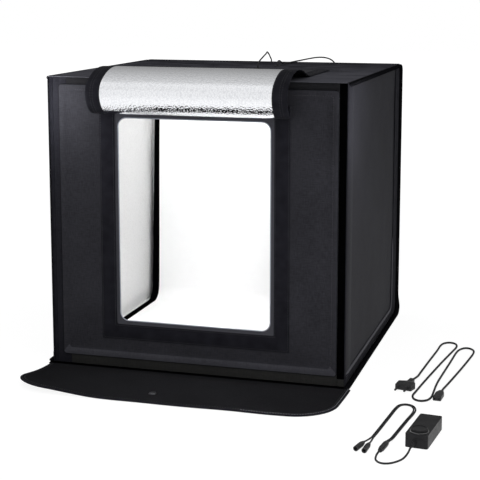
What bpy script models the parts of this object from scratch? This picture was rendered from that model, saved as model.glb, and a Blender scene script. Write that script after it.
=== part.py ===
"""Light tent cube: a cloth photo tent with a side-hung front, a window flap thrown over the roof,
an apron in front, two light bars under the roof and the dimmed supply that feeds them.

Metres, +Z up. The front faces -Y, +X is to the right, and the origin is under the middle of the floor.
"""

import math

import bmesh
import bpy
from mathutils import Matrix, Vector

NAME = "light_tent_cube"

# Tent box, outside faces of the cloth
TENT_WIDTH = 0.620
TENT_DEPTH = 0.600
TENT_HEIGHT = 0.600
FIT = 0.0003  # gap that touching pieces keep
CLOTH = 0.0012
LINER = 0.0022
OVERRUN = 0.004  # how far a cutter runs past what it cuts

# Side walls: lap band along the rear and bottom edges, and the rolled binding round them
LAP_REAR_WIDTH = 0.050
LAP_BOTTOM_HEIGHT = 0.034
LAP_THICKNESS = 0.0015
BINDING_DIAMETER = 0.008
BINDING_LOWER_BEND = 0.026
BINDING_UPPER_BEND = 0.012

# Front surround and the door that covers it
SURROUND_THICKNESS = 0.003
DOOR_LEFT_BAND = 0.022
DOOR_RIGHT_BAND = 0.015
DOOR_TOP_BAND = 0.015
DOOR_BOTTOM_BAND = 0.022
DOOR_OVERLAP = 0.016
DOOR_LINER = 0.0014
DOOR_CORNER = 0.006

# Window in the door, its lip of liner and the hook-and-loop tape round it
WINDOW_WIDTH = 0.317
WINDOW_SILL = 0.1025
WINDOW_TOP_MARGIN = 0.080
WINDOW_CORNER = 0.018
LIP_WIDTH = 0.008
LIP_CORNER = 0.004
TAPE_WIDTH = 0.031
TAPE_THICKNESS = 0.0015

# Window flap: its sheet, its header and the path it follows over the roof
FLAP_WIDTH = 0.410
FLAP_THICKNESS = 0.0014
FLAP_GAP = 0.0009  # slit between two stiff panels of the flap
FLAP_ROOT_SLIT = 0.00075  # from the sewn line to the flap and to the header
FLAP_STANDOFF = 0.0068  # from the tape's face to the sewn line
FLAP_RISE = 0.010  # sewn line above the window
HEADER_HEIGHT = 0.022
FLAP_ROOT_RUN = 0.008
FLAP_CURL_RADIUS = 0.038
FLAP_BROW_RADIUS = 0.030
FLAP_CROWN_RADIUS = 0.130
FLAP_FALL_RADIUS = 0.200
FLAP_SLOPE_RUN = 0.010
FLAP_LANDING_RADIUS = 0.155
FLAP_CURL_TURN = 90.0
FLAP_BROW_TURN = 55.0
FLAP_CROWN_TURN = 35.0
FLAP_FALL_TURN = 17.0
FLAP_CUT_SHARES = (0.0, 0.090, 0.183, 0.285, 0.420, 0.590, 1.0)
FLAP_STEP = 0.0035  # spacing of the points on the flap's curve

# Apron: the closing flap at the foot of the front
APRON_REACH = 0.174
APRON_SIDE_OVERHANG = 0.008
APRON_THICKNESS = 0.0028
APRON_CORNER = 0.075
APRON_HINGE_STANDOFF = 0.0145
APRON_BINDING_WIDTH = 0.009
APRON_BINDING_THICKNESS = 0.0042
SNAP_DIAMETER = 0.015
SNAP_HEIGHT = 0.0022
SNAP_RIM = 0.0026
SNAP_WELL_DEPTH = 0.0012
SNAP_OFFSET = 0.036  # left of the middle
SNAP_SETBACK = 0.042  # from the apron's front edge

# White backdrop, hung at the rear and swept onto the floor
BACKDROP_SIDE_MARGIN = 0.0097  # from its bound edge to the side liner
BACKDROP_THICKNESS = 0.0008
BACKDROP_TOP_MARGIN = 0.045
BACKDROP_LEAN = 0.034
BACKDROP_BEND = 0.035
BACKDROP_FRONT_MARGIN = 0.014
BACKDROP_BINDING = 0.010
BACKDROP_BINDING_THICKNESS = 0.0020
HANGING_TAPE_HEIGHT = 0.020
HANGING_TAPE_THICKNESS = 0.0015

# Light bars
BAR_LENGTH = 0.480
BAR_WIDTH = 0.020
BAR_HEIGHT = 0.010
BAR_WALL = 0.0012
STRIP_THICKNESS = 0.0010
DIFFUSER_THICKNESS = 0.0015
FRONT_BAR_Y = -0.140
REAR_BAR_Y = 0.170
BARS_Y = {"front": FRONT_BAR_Y, "rear": REAR_BAR_Y}

# Leads of the light bars, from the bar through the roof and down behind the tent
LEAD_DIAMETER = 0.0033
GROMMET_BORE = 0.0060
GROMMET_FLANGE = 0.0150
GROMMET_FLANGE_HEIGHT = 0.0014
GROMMET_NECK = 0.0090
FRONT_LEAD_ROUTE = (
    (0.0350, -0.1297, 0.5900), (0.0350, -0.1150, 0.5895), (0.0350, -0.0750, 0.5890),
    (0.0350, -0.0300, 0.5885), (0.0350, 0.0100, 0.5880), (0.0350, 0.0380, 0.5880),
    (0.0350, 0.0440, 0.5890), (0.0350, 0.0483, 0.5917), (0.0350, 0.0500, 0.5960),
    (0.0350, 0.0500, 0.6020), (0.0350, 0.0512, 0.6070), (0.0350, 0.0560, 0.6115),
    (0.0349, 0.0680, 0.6160), (0.0342, 0.0950, 0.6220), (0.0300, 0.1400, 0.6280), (0.0215, 0.1800, 0.6290), (0.0130, 0.2250, 0.6225),
    (0.0060, 0.2650, 0.6125), (0.0025, 0.2860, 0.6070), (0.0000, 0.2985, 0.6038),
    (-0.0020, 0.3055, 0.5980), (-0.0028, 0.3080, 0.5880), (-0.0030, 0.3085, 0.5400), (-0.0010, 0.3090, 0.4600),
    (0.0020, 0.3090, 0.3700), (0.0030, 0.3085, 0.2900), (0.0020, 0.3085, 0.2400),
    (0.0020, 0.3085, 0.2250),
)
REAR_LEAD_ROUTE = (
    (0.0588, 0.1597, 0.5885), (0.0588, 0.1500, 0.5880), (0.0588, 0.1400, 0.5880),
    (0.0588, 0.1345, 0.5892), (0.0588, 0.1312, 0.5920), (0.0588, 0.1300, 0.5960),
    (0.0588, 0.1300, 0.6030), (0.0588, 0.1318, 0.6080), (0.0589, 0.1370, 0.6110),
    (0.0590, 0.1470, 0.6115), (0.0591, 0.1600, 0.6085), (0.0592, 0.1780, 0.6040), (0.0595, 0.2050, 0.6022), (0.0605, 0.2400, 0.6021),
    (0.0640, 0.2720, 0.6026), (0.0740, 0.2950, 0.6042), (0.0900, 0.3055, 0.6075),
    (0.1080, 0.3080, 0.6105), (0.1260, 0.3085, 0.6110), (0.1430, 0.3090, 0.6065),
    (0.1540, 0.3090, 0.5960), (0.1590, 0.3090, 0.5780), (0.1600, 0.3090, 0.5400),
    (0.1590, 0.3090, 0.4600), (0.1570, 0.3090, 0.3600), (0.1565, 0.3090, 0.2600),
    (0.1570, 0.3090, 0.1600), (0.1575, 0.3090, 0.0900), (0.1575, 0.3090, 0.0750),
)

# Supply: adapter with its dimmer, standing apart in front and to the right
ADAPTER_PLACE = (0.498, -0.526)
ADAPTER_TURN = -5.7
ADAPTER_LENGTH = 0.110
ADAPTER_WIDTH = 0.040
ADAPTER_HEIGHT = 0.024
ADAPTER_WALL = 0.0020
ADAPTER_CORNER = 0.004
ADAPTER_EDGE = 0.0012
ADAPTER_SPLIT = 0.0165
INLET_WIDTH = 0.0200
INLET_HEIGHT = 0.0120
INLET_DEPTH = 0.0140
INLET_WALL = 0.0020
INLET_FLANGE = 0.0010
INLET_PIN = 0.0024
INLET_PIN_SPACING = 0.0086
INLET_PIN_LENGTH = 0.0080
INLET_LIFT = 0.0095
KNOB_DIAMETER = 0.029
KNOB_HEIGHT = 0.0048
KNOB_RECESS = 0.0008
KNOB_EDGE = 0.0010
KNOB_SETBACK = 0.022
SHAFT_DIAMETER = 0.0060
SHAFT_LENGTH = 0.0090
CONTROL_SIZE = 0.0160
CONTROL_HEIGHT = 0.0085
CONTROL_SOCKET = 0.0040
RELIEF_FLANGE = 0.0100
RELIEF_FLANGE_THICKNESS = 0.0012
RELIEF_NECK = 0.0070
RELIEF_TIP = 0.0048
RELIEF_LENGTH = 0.022
RELIEF_LIFT = 0.0100
RELIEF_OFFSET = 0.003

# Free leads of the supply, lying on the floor
MAINS_DIAMETER = 0.0044
DC_DIAMETER = 0.0036
SPLIT_DIAMETER = 0.0032
SPLIT_SPREAD = 0.0018  # each splitter lead from the middle of the pair
MAINS_ROUTE = (
    (0.4330, -0.2290, 0.0068), (0.4347, -0.2205, 0.0068), (0.4362, -0.2110, 0.0060),
    (0.4380, -0.1880, 0.0032), (0.4395, -0.1600, 0.0025),
    (0.4450, -0.0800, 0.0025), (0.4510, 0.0000, 0.0025), (0.4530, 0.0400, 0.0025),
    (0.4580, 0.0620, 0.0025), (0.4705, 0.0720, 0.0025), (0.4835, 0.0640, 0.0025),
    (0.4880, 0.0420, 0.0025), (0.4840, 0.0080, 0.0025), (0.4740, -0.0640, 0.0025),
    (0.4640, -0.1440, 0.0025), (0.4550, -0.2200, 0.0025), (0.4480, -0.2860, 0.0025),
    (0.4460, -0.3120, 0.0025), (0.4515, -0.3310, 0.0025), (0.4635, -0.3385, 0.0025),
    (0.4760, -0.3310, 0.0025), (0.4815, -0.3110, 0.0025), (0.4815, -0.2800, 0.0025),
    (0.4810, -0.2200, 0.0025), (0.4850, -0.1400, 0.0025), (0.4890, -0.0700, 0.0025),
    (0.4920, -0.0100, 0.0025), (0.4960, 0.0200, 0.0025), (0.5060, 0.0380, 0.0025),
    (0.5180, 0.0370, 0.0025), (0.5270, 0.0220, 0.0025), (0.5280, -0.0020, 0.0025),
    (0.5240, -0.0440, 0.0025), (0.5160, -0.1140, 0.0025), (0.5070, -0.1840, 0.0025),
    (0.5015, -0.2260, 0.0027), (0.4990, -0.2500, 0.0040), (0.4978, -0.2640, 0.0049),
    (0.4973, -0.2715, 0.0049), (0.4968, -0.2790, 0.0049),
)
DC_ROUTE = (
    (0.4873, -0.6026, 0.0100), (0.4866, -0.6100, 0.0096), (0.4845, -0.6220, 0.0052),
    (0.4798, -0.6390, 0.0022), (0.4715, -0.6560, 0.0021), (0.4590, -0.6680, 0.0021),
    (0.4460, -0.6690, 0.0022), (0.4370, -0.6590, 0.0027), (0.4350, -0.6440, 0.0040),
    (0.4360, -0.6320, 0.0052), (0.4375, -0.6220, 0.0054),
)
PAIR_ROUTE = (
    (0.4425, -0.5805, 0.0054), (0.4440, -0.5700, 0.0050), (0.4465, -0.5500, 0.0026),
    (0.4515, -0.5000, 0.0019), (0.4570, -0.4500, 0.0019), (0.4615, -0.4140, 0.0019),
    (0.4615, -0.3900, 0.0019), (0.4545, -0.3720, 0.0019), (0.4425, -0.3655, 0.0019),
    (0.4315, -0.3730, 0.0019), (0.4265, -0.3960, 0.0019), (0.4235, -0.4300, 0.0019),
    (0.4190, -0.4840, 0.0019), (0.4150, -0.5300, 0.0019), (0.4125, -0.5560, 0.0021),
)
# The last stretch of each splitter lead, where the pair parts, and where it meets its socket
SPLIT_ENDS = {
    "left": ((0.4070, -0.5760, 0.0038), (0.4046, -0.5860, 0.0049), (0.4036, -0.5910, 0.0050)),
    "right": ((0.4147, -0.5760, 0.0038), (0.4145, -0.5880, 0.0049), (0.4141, -0.5950, 0.0050)),
}
SOCKET_DIAMETER = 0.0095
SOCKET_TAIL_DIAMETER = 0.0060
SOCKET_LENGTH = 0.036
SOCKET_TAIL = 0.010
SOCKET_BORE = 0.0055
SOCKET_BORE_DEPTH = 0.0090
SOCKET_EDGE = 0.0006
INLINE_DIAMETER = 0.0105
INLINE_TAIL_DIAMETER = 0.0078
INLINE_TAIL = 0.009
INLINE_GROOVE = 0.0008
PLUG_BODY_LENGTH = 0.054
PLUG_WIDTH = 0.035
PLUG_THICKNESS = 0.013
PLUG_NOSE_WIDTH = 0.0095
PLUG_NOSE_THICKNESS = 0.0090
PLUG_NOSE_LENGTH = 0.020
PLUG_SHOULDER = 0.012
PLUG_EDGE = 0.0020
PIN_DIAMETER = 0.0040
PIN_LENGTH = 0.019
PIN_SPACING = 0.0186
CONNECTOR_LENGTH = 0.046
CONNECTOR_WIDTH = 0.0165
CONNECTOR_THICKNESS = 0.0092
CONNECTOR_TAIL_WIDTH = 0.0080
CONNECTOR_TAIL_THICKNESS = 0.0075
CONNECTOR_TAIL = 0.016
CONNECTOR_HOLE = 0.0028
CONNECTOR_HOLE_DEPTH = 0.0090

# Counts
CORNER_STEPS = 5
BINDING_STEPS = 6
TURN_STEPS = 24
SMALL_TURN_STEPS = 16
MOST_CORD_POINTS = 78
CORD_SPACING_DIAMETERS = 3.0
CORD_POINT_TURN = 25.0  # a bend has a point for every so many degrees
ROUTE_STEPS = 16

# Finishes: colour, roughness, metallic
FINISHES = {
    "black_cloth": ((0.022, 0.022, 0.026), 0.85, 0.0),
    "black_tape": ((0.008, 0.008, 0.010), 0.90, 0.0),
    "silver_foil": ((0.80, 0.81, 0.83), 0.30, 0.9),
    "white_sheet": ((0.90, 0.90, 0.90), 0.60, 0.0),
    "flap_cloth": ((0.62, 0.63, 0.65), 0.32, 0.8),
    "snap_metal": ((0.55, 0.55, 0.56), 0.30, 1.0),
    "bar_metal": ((0.60, 0.61, 0.62), 0.35, 1.0),
    "light_strip": ((0.90, 0.88, 0.78), 0.50, 0.0),
    "diffuser": ((0.92, 0.92, 0.90), 0.40, 0.0),
    "grommet_rubber": ((0.015, 0.015, 0.016), 0.70, 0.0),
    "cord_jacket": ((0.022, 0.022, 0.023), 0.55, 0.0),
    "adapter_plastic": ((0.030, 0.030, 0.031), 0.55, 0.0),
    "knob_plastic": ((0.018, 0.018, 0.019), 0.45, 0.0),
    "plug_plastic": ((0.024, 0.024, 0.025), 0.50, 0.0),
}

# Places worked out from the sizes above
HALF_WIDTH = TENT_WIDTH / 2
HALF_DEPTH = TENT_DEPTH / 2
INNER_X = HALF_WIDTH - CLOTH - FIT  # inside face of the side cloth, less the gap
INNER_Y = HALF_DEPTH - CLOTH - FIT
ROOF_UNDER = TENT_HEIGHT - CLOTH - FIT
LINER_X = INNER_X - LINER - FIT  # inside face of the side liner, less the gap
LINER_Y = INNER_Y - LINER - FIT
LINER_TOP = ROOF_UNDER - LINER - FIT
FLOOR_TOP = CLOTH + FIT
LINER_FLOOR = FLOOR_TOP + LINER + FIT
DOOR_FACE = -HALF_DEPTH
DOOR_BACK = DOOR_FACE + CLOTH + FIT + DOOR_LINER
SURROUND_FACE = DOOR_BACK + FIT
SURROUND_BACK = SURROUND_FACE + SURROUND_THICKNESS
DOOR_LEFT = -INNER_X + DOOR_LEFT_BAND
DOOR_RIGHT = INNER_X - DOOR_RIGHT_BAND
DOOR_TOP = TENT_HEIGHT - DOOR_TOP_BAND
DOOR_BOTTOM = DOOR_BOTTOM_BAND
WINDOW_TOP = TENT_HEIGHT - WINDOW_TOP_MARGIN
LIP_BOTTOM = WINDOW_SILL - LIP_WIDTH
LIP_TOP = WINDOW_TOP + LIP_WIDTH
TAPE_INNER = WINDOW_WIDTH / 2 + LIP_WIDTH
TAPE_OUTER = TAPE_INNER + TAPE_WIDTH
TAPE_BOTTOM = LIP_BOTTOM - TAPE_WIDTH
TAPE_FACE = DOOR_FACE - FIT - TAPE_THICKNESS
FLAP_HINGE = Vector((0.0, TAPE_FACE - FLAP_STANDOFF, WINDOW_TOP + FLAP_RISE))
FLAP_LENGTH = FLAP_HINGE.z - TAPE_BOTTOM
FLAP_ON_ROOF = TENT_HEIGHT + FIT + FLAP_THICKNESS / 2
DOOR_PIVOT = Vector((DOOR_LEFT - FIT, DOOR_FACE - FIT, 0.0))
BACKDROP_WIDTH = 2 * (LINER_X - BACKDROP_SIDE_MARGIN - BACKDROP_BINDING - FIT)
BACKDROP_TOP = TENT_HEIGHT - BACKDROP_TOP_MARGIN
APRON_PIVOT = Vector((0.0, -HALF_DEPTH - APRON_HINGE_STANDOFF, FIT + APRON_BINDING_THICKNESS))

parts = None
cutters = None
pivots = {}


def clear_scene():
    for item in list(bpy.data.objects):
        bpy.data.objects.remove(item, do_unlink=True)


def make_collections():
    global parts, cutters
    parts = bpy.data.collections.new(NAME)
    cutters = bpy.data.collections.new(NAME + "_cutters")
    bpy.context.scene.collection.children.link(parts)
    bpy.context.scene.collection.children.link(cutters)


def make_materials():
    for name, (colour, roughness, metallic) in FINISHES.items():
        finish = bpy.data.materials.new(name)
        finish.use_nodes = True
        shader = finish.node_tree.nodes["Principled BSDF"]
        shader.inputs["Base Color"].default_value = (*colour, 1.0)
        shader.inputs["Roughness"].default_value = roughness
        shader.inputs["Metallic"].default_value = metallic


def pivot(name, place, parent=None):
    """An empty on a joint's axis; pieces that move with the joint are parented to it."""
    empty = bpy.data.objects.new(name, None)
    parts.objects.link(empty)
    pivots[name] = Vector(place)
    if parent:
        empty.parent = bpy.data.objects[parent]
        empty.location = Vector(place) - pivots[parent]
    else:
        empty.location = place
    return name


def add(name, data, finish, place=(0, 0, 0), turn=(0, 0, 0), parent=None):
    """Links a piece at its place in the tent's frame, under its pivot if it has one."""
    piece = bpy.data.objects.new(name, data)
    parts.objects.link(piece)
    data.materials.append(bpy.data.materials[finish])
    piece.rotation_euler = turn
    piece.location = Vector(place)
    if parent:
        piece.parent = bpy.data.objects[parent]
        piece.location = Vector(place) - pivots[parent]
    return piece


def mesh_from(bm, name):
    data = bpy.data.meshes.new(name)
    bm.to_mesh(data)
    bm.free()
    return data


def block_mesh(name, size):
    bm = bmesh.new()
    bmesh.ops.create_cube(bm, size=1.0)
    bmesh.ops.scale(bm, vec=size, verts=bm.verts)
    return mesh_from(bm, name)


def box(name, low, high, finish, parent=None):
    low, high = Vector(low), Vector(high)
    return add(name, block_mesh(name, high - low), finish, (low + high) / 2, parent=parent)


def round_edges(piece, width, segments=2):
    bevel = piece.modifiers.new("rounded_edges", "BEVEL")
    bevel.width = width
    bevel.segments = segments
    bevel.limit_method = "ANGLE"
    bevel.angle_limit = math.radians(40)


def as_guide(piece):
    """Moves a piece to the cutters: it only shapes others and isn't part of the tent."""
    parts.objects.unlink(piece)
    cutters.objects.link(piece)
    piece.hide_render = True
    piece.display_type = "WIRE"
    return piece


def combine(piece, other, operation):
    step = piece.modifiers.new(other.name, "BOOLEAN")
    step.operation = operation
    step.solver = "EXACT"
    step.object = as_guide(other)


PLANES = {
    "flat": (0.0, 0.0, 0.0),
    "front": (math.pi / 2, 0.0, 0.0),
    "side": (math.pi / 2, 0.0, math.pi / 2),
}


def plate(name, outlines, thickness, plane, place, finish, parent=None):
    """A flat piece from closed outlines, the first the rim and any others holes in it."""
    curve = bpy.data.curves.new(name, "CURVE")
    curve.dimensions = "2D"
    curve.fill_mode = "BOTH"
    curve.extrude = thickness / 2
    for outline in outlines:
        spline = curve.splines.new("POLY")
        spline.points.add(len(outline) - 1)
        for point, (u, v) in zip(spline.points, outline):
            point.co = (u, v, 0.0, 1.0)
        spline.use_cyclic_u = True
    return add(name, curve, finish, place, PLANES[plane], parent)


def rounded_outline(left, bottom, right, top, radii):
    """Points of a rectangle whose corners, from the lower left anticlockwise, have these radii."""
    corners = ((left, bottom, 180), (right, bottom, 270), (right, top, 0), (left, top, 90))
    points = []
    for (x, y, start), radius in zip(corners, radii):
        if radius == 0:
            points.append((x, y))
            continue
        centre_x = x + radius if x == left else x - radius
        centre_y = y + radius if y == bottom else y - radius
        for step in range(CORNER_STEPS + 1):
            angle = math.radians(start + 90 * step / CORNER_STEPS)
            points.append((centre_x + radius * math.cos(angle), centre_y + radius * math.sin(angle)))
    return points


def strip_outline(path, thickness):
    """Outline of a thin strip that follows a path of (u, v) points."""
    left, right = [], []
    for index, point in enumerate(path):
        before = Vector(path[max(index - 1, 0)])
        after = Vector(path[min(index + 1, len(path) - 1)])
        along = (after - before).normalized()
        across = Vector((-along.y, along.x)) * thickness / 2
        left.append(tuple(Vector(point) + across))
        right.append(tuple(Vector(point) - across))
    return left + right[::-1]


def rounded_path(corners, radii, steps):
    """A path of straight runs through corners, each inner corner rounded to its radius."""
    points = [Vector(corners[0])]
    for before, corner, after, radius in zip(corners, corners[1:], corners[2:], radii):
        corner = Vector(corner)
        into = (corner - Vector(before)).normalized()
        out = (Vector(after) - corner).normalized()
        turn = into.angle(out)
        reach = radius * math.tan(turn / 2)
        start = corner - into * reach
        centre = start + (out - into * into.dot(out)).normalized() * radius
        for step in range(steps + 1):
            angle = turn * step / steps
            points.append(
                centre + (start - centre) * math.cos(angle) + into * radius * math.sin(angle)
            )
    points.append(Vector(corners[-1]))
    return points


def tube(name, points, diameter, finish, parent=None, resolution=2):
    curve = bpy.data.curves.new(name, "CURVE")
    curve.dimensions = "3D"
    curve.bevel_depth = diameter / 2
    curve.bevel_resolution = resolution
    curve.use_fill_caps = True
    spline = curve.splines.new("POLY")
    spline.points.add(len(points) - 1)
    for point, place in zip(spline.points, points):
        point.co = (*place, 1.0)
    return add(name, curve, finish, parent=parent)


def smooth_route(route):
    """Dense points on the smooth curve through a route's own points."""
    knots = [Vector(point) for point in route]
    knots = [2 * knots[0] - knots[1]] + knots + [2 * knots[-1] - knots[-2]]
    dense = []
    for a, b, c, d in zip(knots, knots[1:], knots[2:], knots[3:]):
        for step in range(ROUTE_STEPS):
            t = step / ROUTE_STEPS
            dense.append(
                (2 * b + (c - a) * t + (2 * a - 5 * b + 4 * c - d) * t**2 + (3 * b - a - 3 * c + d) * t**3) / 2
            )
    dense.append(knots[-2])
    return dense


def even_points(dense, diameter):
    """Points along a dense curve, a few diameters apart and closer together in its bends."""
    reach = [0.0]
    for index, (a, b) in enumerate(zip(dense, dense[1:])):
        turn = (b - a).angle(dense[index + 2] - b) if index + 2 < len(dense) else 0.0
        share = (b - a).length / (diameter * CORD_SPACING_DIAMETERS) + turn / math.radians(CORD_POINT_TURN)
        reach.append(reach[-1] + share)
    count = min(MOST_CORD_POINTS, max(4, round(reach[-1])))
    points, index = [], 0
    for step in range(count + 1):
        target = reach[-1] * step / count
        while index < len(dense) - 2 and reach[index + 1] < target:
            index += 1
        share = (target - reach[index]) / (reach[index + 1] - reach[index])
        points.append(dense[index].lerp(dense[index + 1], share))
    return points


def cord(name, route, diameter):
    return tube(name, even_points(smooth_route(route), diameter), diameter, "cord_jacket")


def turned(name, profile, finish, place, direction, steps=TURN_STEPS, parent=None, closed=False):
    """A turned piece: profile is (radius, height) down its outer side, height along direction."""
    bm = bmesh.new()
    verts = [bm.verts.new((radius, 0.0, height)) for radius, height in profile]
    for a, b in zip(verts, verts[1:]):
        bm.edges.new((a, b))
    if closed:
        bm.edges.new((verts[-1], verts[0]))
    piece = add(name, mesh_from(bm, name), finish, place, parent=parent)
    piece.rotation_euler = Vector(direction).to_track_quat("Z", "Y").to_euler()
    screw = piece.modifiers.new("turned", "SCREW")
    screw.steps = steps
    screw.render_steps = steps
    screw.use_merge_vertices = True
    screw.merge_threshold = 0.00001
    screw.use_normal_calculate = False
    return piece


def side_wall(side, sign):
    """One side wall: outer cloth, liner, lap band and rolled binding."""
    near, far = HALF_WIDTH - CLOTH, HALF_WIDTH
    box(f"{side}_wall_cloth", (min(sign * near, sign * far), -HALF_DEPTH, 0.0),
        (max(sign * near, sign * far), HALF_DEPTH, TENT_HEIGHT), "black_cloth")
    near, far = INNER_X - LINER, INNER_X
    box(f"{side}_wall_liner", (min(sign * near, sign * far), SURROUND_BACK + FIT, LINER_FLOOR - LINER),
        (max(sign * near, sign * far), LINER_Y, LINER_TOP), "silver_foil")
    radius = BINDING_DIAMETER / 2
    low, high, back = radius + FIT, TENT_HEIGHT - radius, HALF_DEPTH - radius
    reach = radius + FIT  # from the middle of the binding to the edge of the band
    rear, front, bottom, top = back - reach, reach - back, low + reach, high - reach
    bend = BINDING_LOWER_BEND - reach
    band = rounded_path([(front, bottom), (rear, bottom), (rear, top), (rear - LAP_REAR_WIDTH, top)],
                        (bend, BINDING_UPPER_BEND - reach), CORNER_STEPS)
    band += [(rear - LAP_REAR_WIDTH, bottom + LAP_BOTTOM_HEIGHT), (front, bottom + LAP_BOTTOM_HEIGHT)]
    plate(f"{side}_lap_band", [band], LAP_THICKNESS, "side",
          (sign * (HALF_WIDTH + FIT + LAP_THICKNESS / 2), 0.0, 0.0), "black_tape")
    x = sign * (HALF_WIDTH + FIT + radius)
    route = rounded_path([(x, -back, low), (x, back, low), (x, back, high), (x, -back, high)],
                         (BINDING_LOWER_BEND, BINDING_UPPER_BEND), BINDING_STEPS)
    tube(f"{side}_edge_binding", route, BINDING_DIAMETER, "black_tape")


def shell():
    """Rear wall, roof and floor, each a cloth and a liner; the roof is holed for its grommets."""
    box("rear_wall_cloth", (-INNER_X, HALF_DEPTH - CLOTH, 0.0), (INNER_X, HALF_DEPTH, ROOF_UNDER), "black_cloth")
    box("rear_wall_liner", (-INNER_X, INNER_Y - LINER, FLOOR_TOP), (INNER_X, INNER_Y, ROOF_UNDER), "silver_foil")
    roof = box("roof_cloth", (-INNER_X, -HALF_DEPTH, ROOF_UNDER + FIT), (INNER_X, HALF_DEPTH, TENT_HEIGHT),
               "black_cloth")
    liner = box("roof_liner", (-INNER_X, SURROUND_BACK + FIT, ROOF_UNDER - LINER),
                (INNER_X, LINER_Y, ROOF_UNDER), "silver_foil")
    for name, route in (("front", FRONT_LEAD_ROUTE), ("rear", REAR_LEAD_ROUTE)):
        x, y = grommet_place(route)
        for sheet, label in ((roof, "roof"), (liner, "liner")):
            hole = turned(f"{name}_{label}_hole", straight_profile(GROMMET_NECK / 2 + FIT, OVERRUN),
                          "black_cloth", (x, y, ROOF_UNDER - LINER / 2), (0, 0, 1), SMALL_TURN_STEPS)
            combine(sheet, hole, "DIFFERENCE")
    box("floor_cloth", (-INNER_X, APRON_PIVOT.y + FIT, 0.0), (INNER_X, INNER_Y, CLOTH), "black_cloth")
    box("floor_liner", (-LINER_X, SURROUND_BACK + FIT, FLOOR_TOP), (LINER_X, LINER_Y, FLOOR_TOP + LINER),
        "silver_foil")


def straight_profile(radius, half_length):
    return [(0.0, half_length), (radius, half_length), (radius, -half_length), (0.0, -half_length)]


def grommet_place(route):
    """Where a lead crosses the roof."""
    for a, b in zip(smooth_route(route), smooth_route(route)[1:]):
        if a.z < TENT_HEIGHT <= b.z:
            return a.x, a.y
    return route[len(route) // 2][0], route[len(route) // 2][1]


def grommet(name, route):
    """Rubber grommet: a flange on the roof, a neck through cloth and liner, and a lower flange."""
    x, y = grommet_place(route)
    top = TENT_HEIGHT + FIT
    under = ROOF_UNDER - LINER - FIT
    bore, neck, flange = GROMMET_BORE / 2, GROMMET_NECK / 2, GROMMET_FLANGE / 2
    profile = [
        (bore, top + GROMMET_FLANGE_HEIGHT), (flange - GROMMET_FLANGE_HEIGHT / 2, top + GROMMET_FLANGE_HEIGHT),
        (flange, top + GROMMET_FLANGE_HEIGHT / 2), (flange, top), (neck, top), (neck, under),
        (flange, under), (flange, under - GROMMET_FLANGE_HEIGHT), (bore, under - GROMMET_FLANGE_HEIGHT),
    ]
    turned(name, profile, "grommet_rubber", (x, y, 0.0), (0, 0, 1), SMALL_TURN_STEPS, closed=True)


def front_surround():
    """The fixed bands of the front: a ring that the door closes onto."""
    inner = (DOOR_LEFT + DOOR_OVERLAP, DOOR_BOTTOM + DOOR_OVERLAP, DOOR_RIGHT - DOOR_OVERLAP, DOOR_TOP - DOOR_OVERLAP)
    rim = rounded_outline(-INNER_X, FLOOR_TOP, INNER_X, ROOF_UNDER, (0, 0, 0, 0))
    hole = rounded_outline(*inner, (DOOR_CORNER,) * 4)
    plate("front_surround", [rim, hole], SURROUND_THICKNESS, "front",
          (0.0, (SURROUND_FACE + SURROUND_BACK) / 2, 0.0), "black_cloth")


def door():
    """Side-hung front: outer cloth, liner, window tape and flap header."""
    place = pivot("door_pivot", DOOR_PIVOT)
    rim = rounded_outline(DOOR_LEFT, DOOR_BOTTOM, DOOR_RIGHT, DOOR_TOP, (DOOR_CORNER,) * 4)
    half = WINDOW_WIDTH / 2
    cut = rounded_outline(-TAPE_INNER, LIP_BOTTOM, TAPE_INNER, LIP_TOP, (LIP_CORNER,) * 4)
    plate("door_cloth", [rim, cut], CLOTH, "front", (0.0, DOOR_FACE + CLOTH / 2, 0.0), "black_cloth", place)
    window = rounded_outline(-half, WINDOW_SILL, half, WINDOW_TOP, (WINDOW_CORNER,) * 4)
    plate("door_liner", [rim, window], DOOR_LINER, "front",
          (0.0, DOOR_BACK - DOOR_LINER / 2, 0.0), "silver_foil", place)
    top = FLAP_HINGE.z
    frame = [(-TAPE_OUTER, TAPE_BOTTOM), (TAPE_OUTER, TAPE_BOTTOM), (TAPE_OUTER, top), (TAPE_INNER, top),
             (TAPE_INNER, LIP_BOTTOM), (-TAPE_INNER, LIP_BOTTOM), (-TAPE_INNER, top), (-TAPE_OUTER, top)]
    plate("window_tape", [frame], TAPE_THICKNESS, "front",
          (0.0, TAPE_FACE + TAPE_THICKNESS / 2, 0.0), "black_tape", place)
    low = FLAP_HINGE.z + FLAP_ROOT_SLIT
    header = box("flap_header", (-FLAP_WIDTH / 2, FLAP_HINGE.y - FLAP_THICKNESS / 2, low),
                 (FLAP_WIDTH / 2, DOOR_FACE - FIT, low + HEADER_HEIGHT), "black_cloth", place)
    round_edges(header, FLAP_THICKNESS / 4, 1)


def flap_heading(angle):
    """Direction of the flap at a turn from hanging down, through forward and up, to back, in (y, z)."""
    return Vector((-math.sin(math.radians(angle)), -math.cos(math.radians(angle))))


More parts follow.
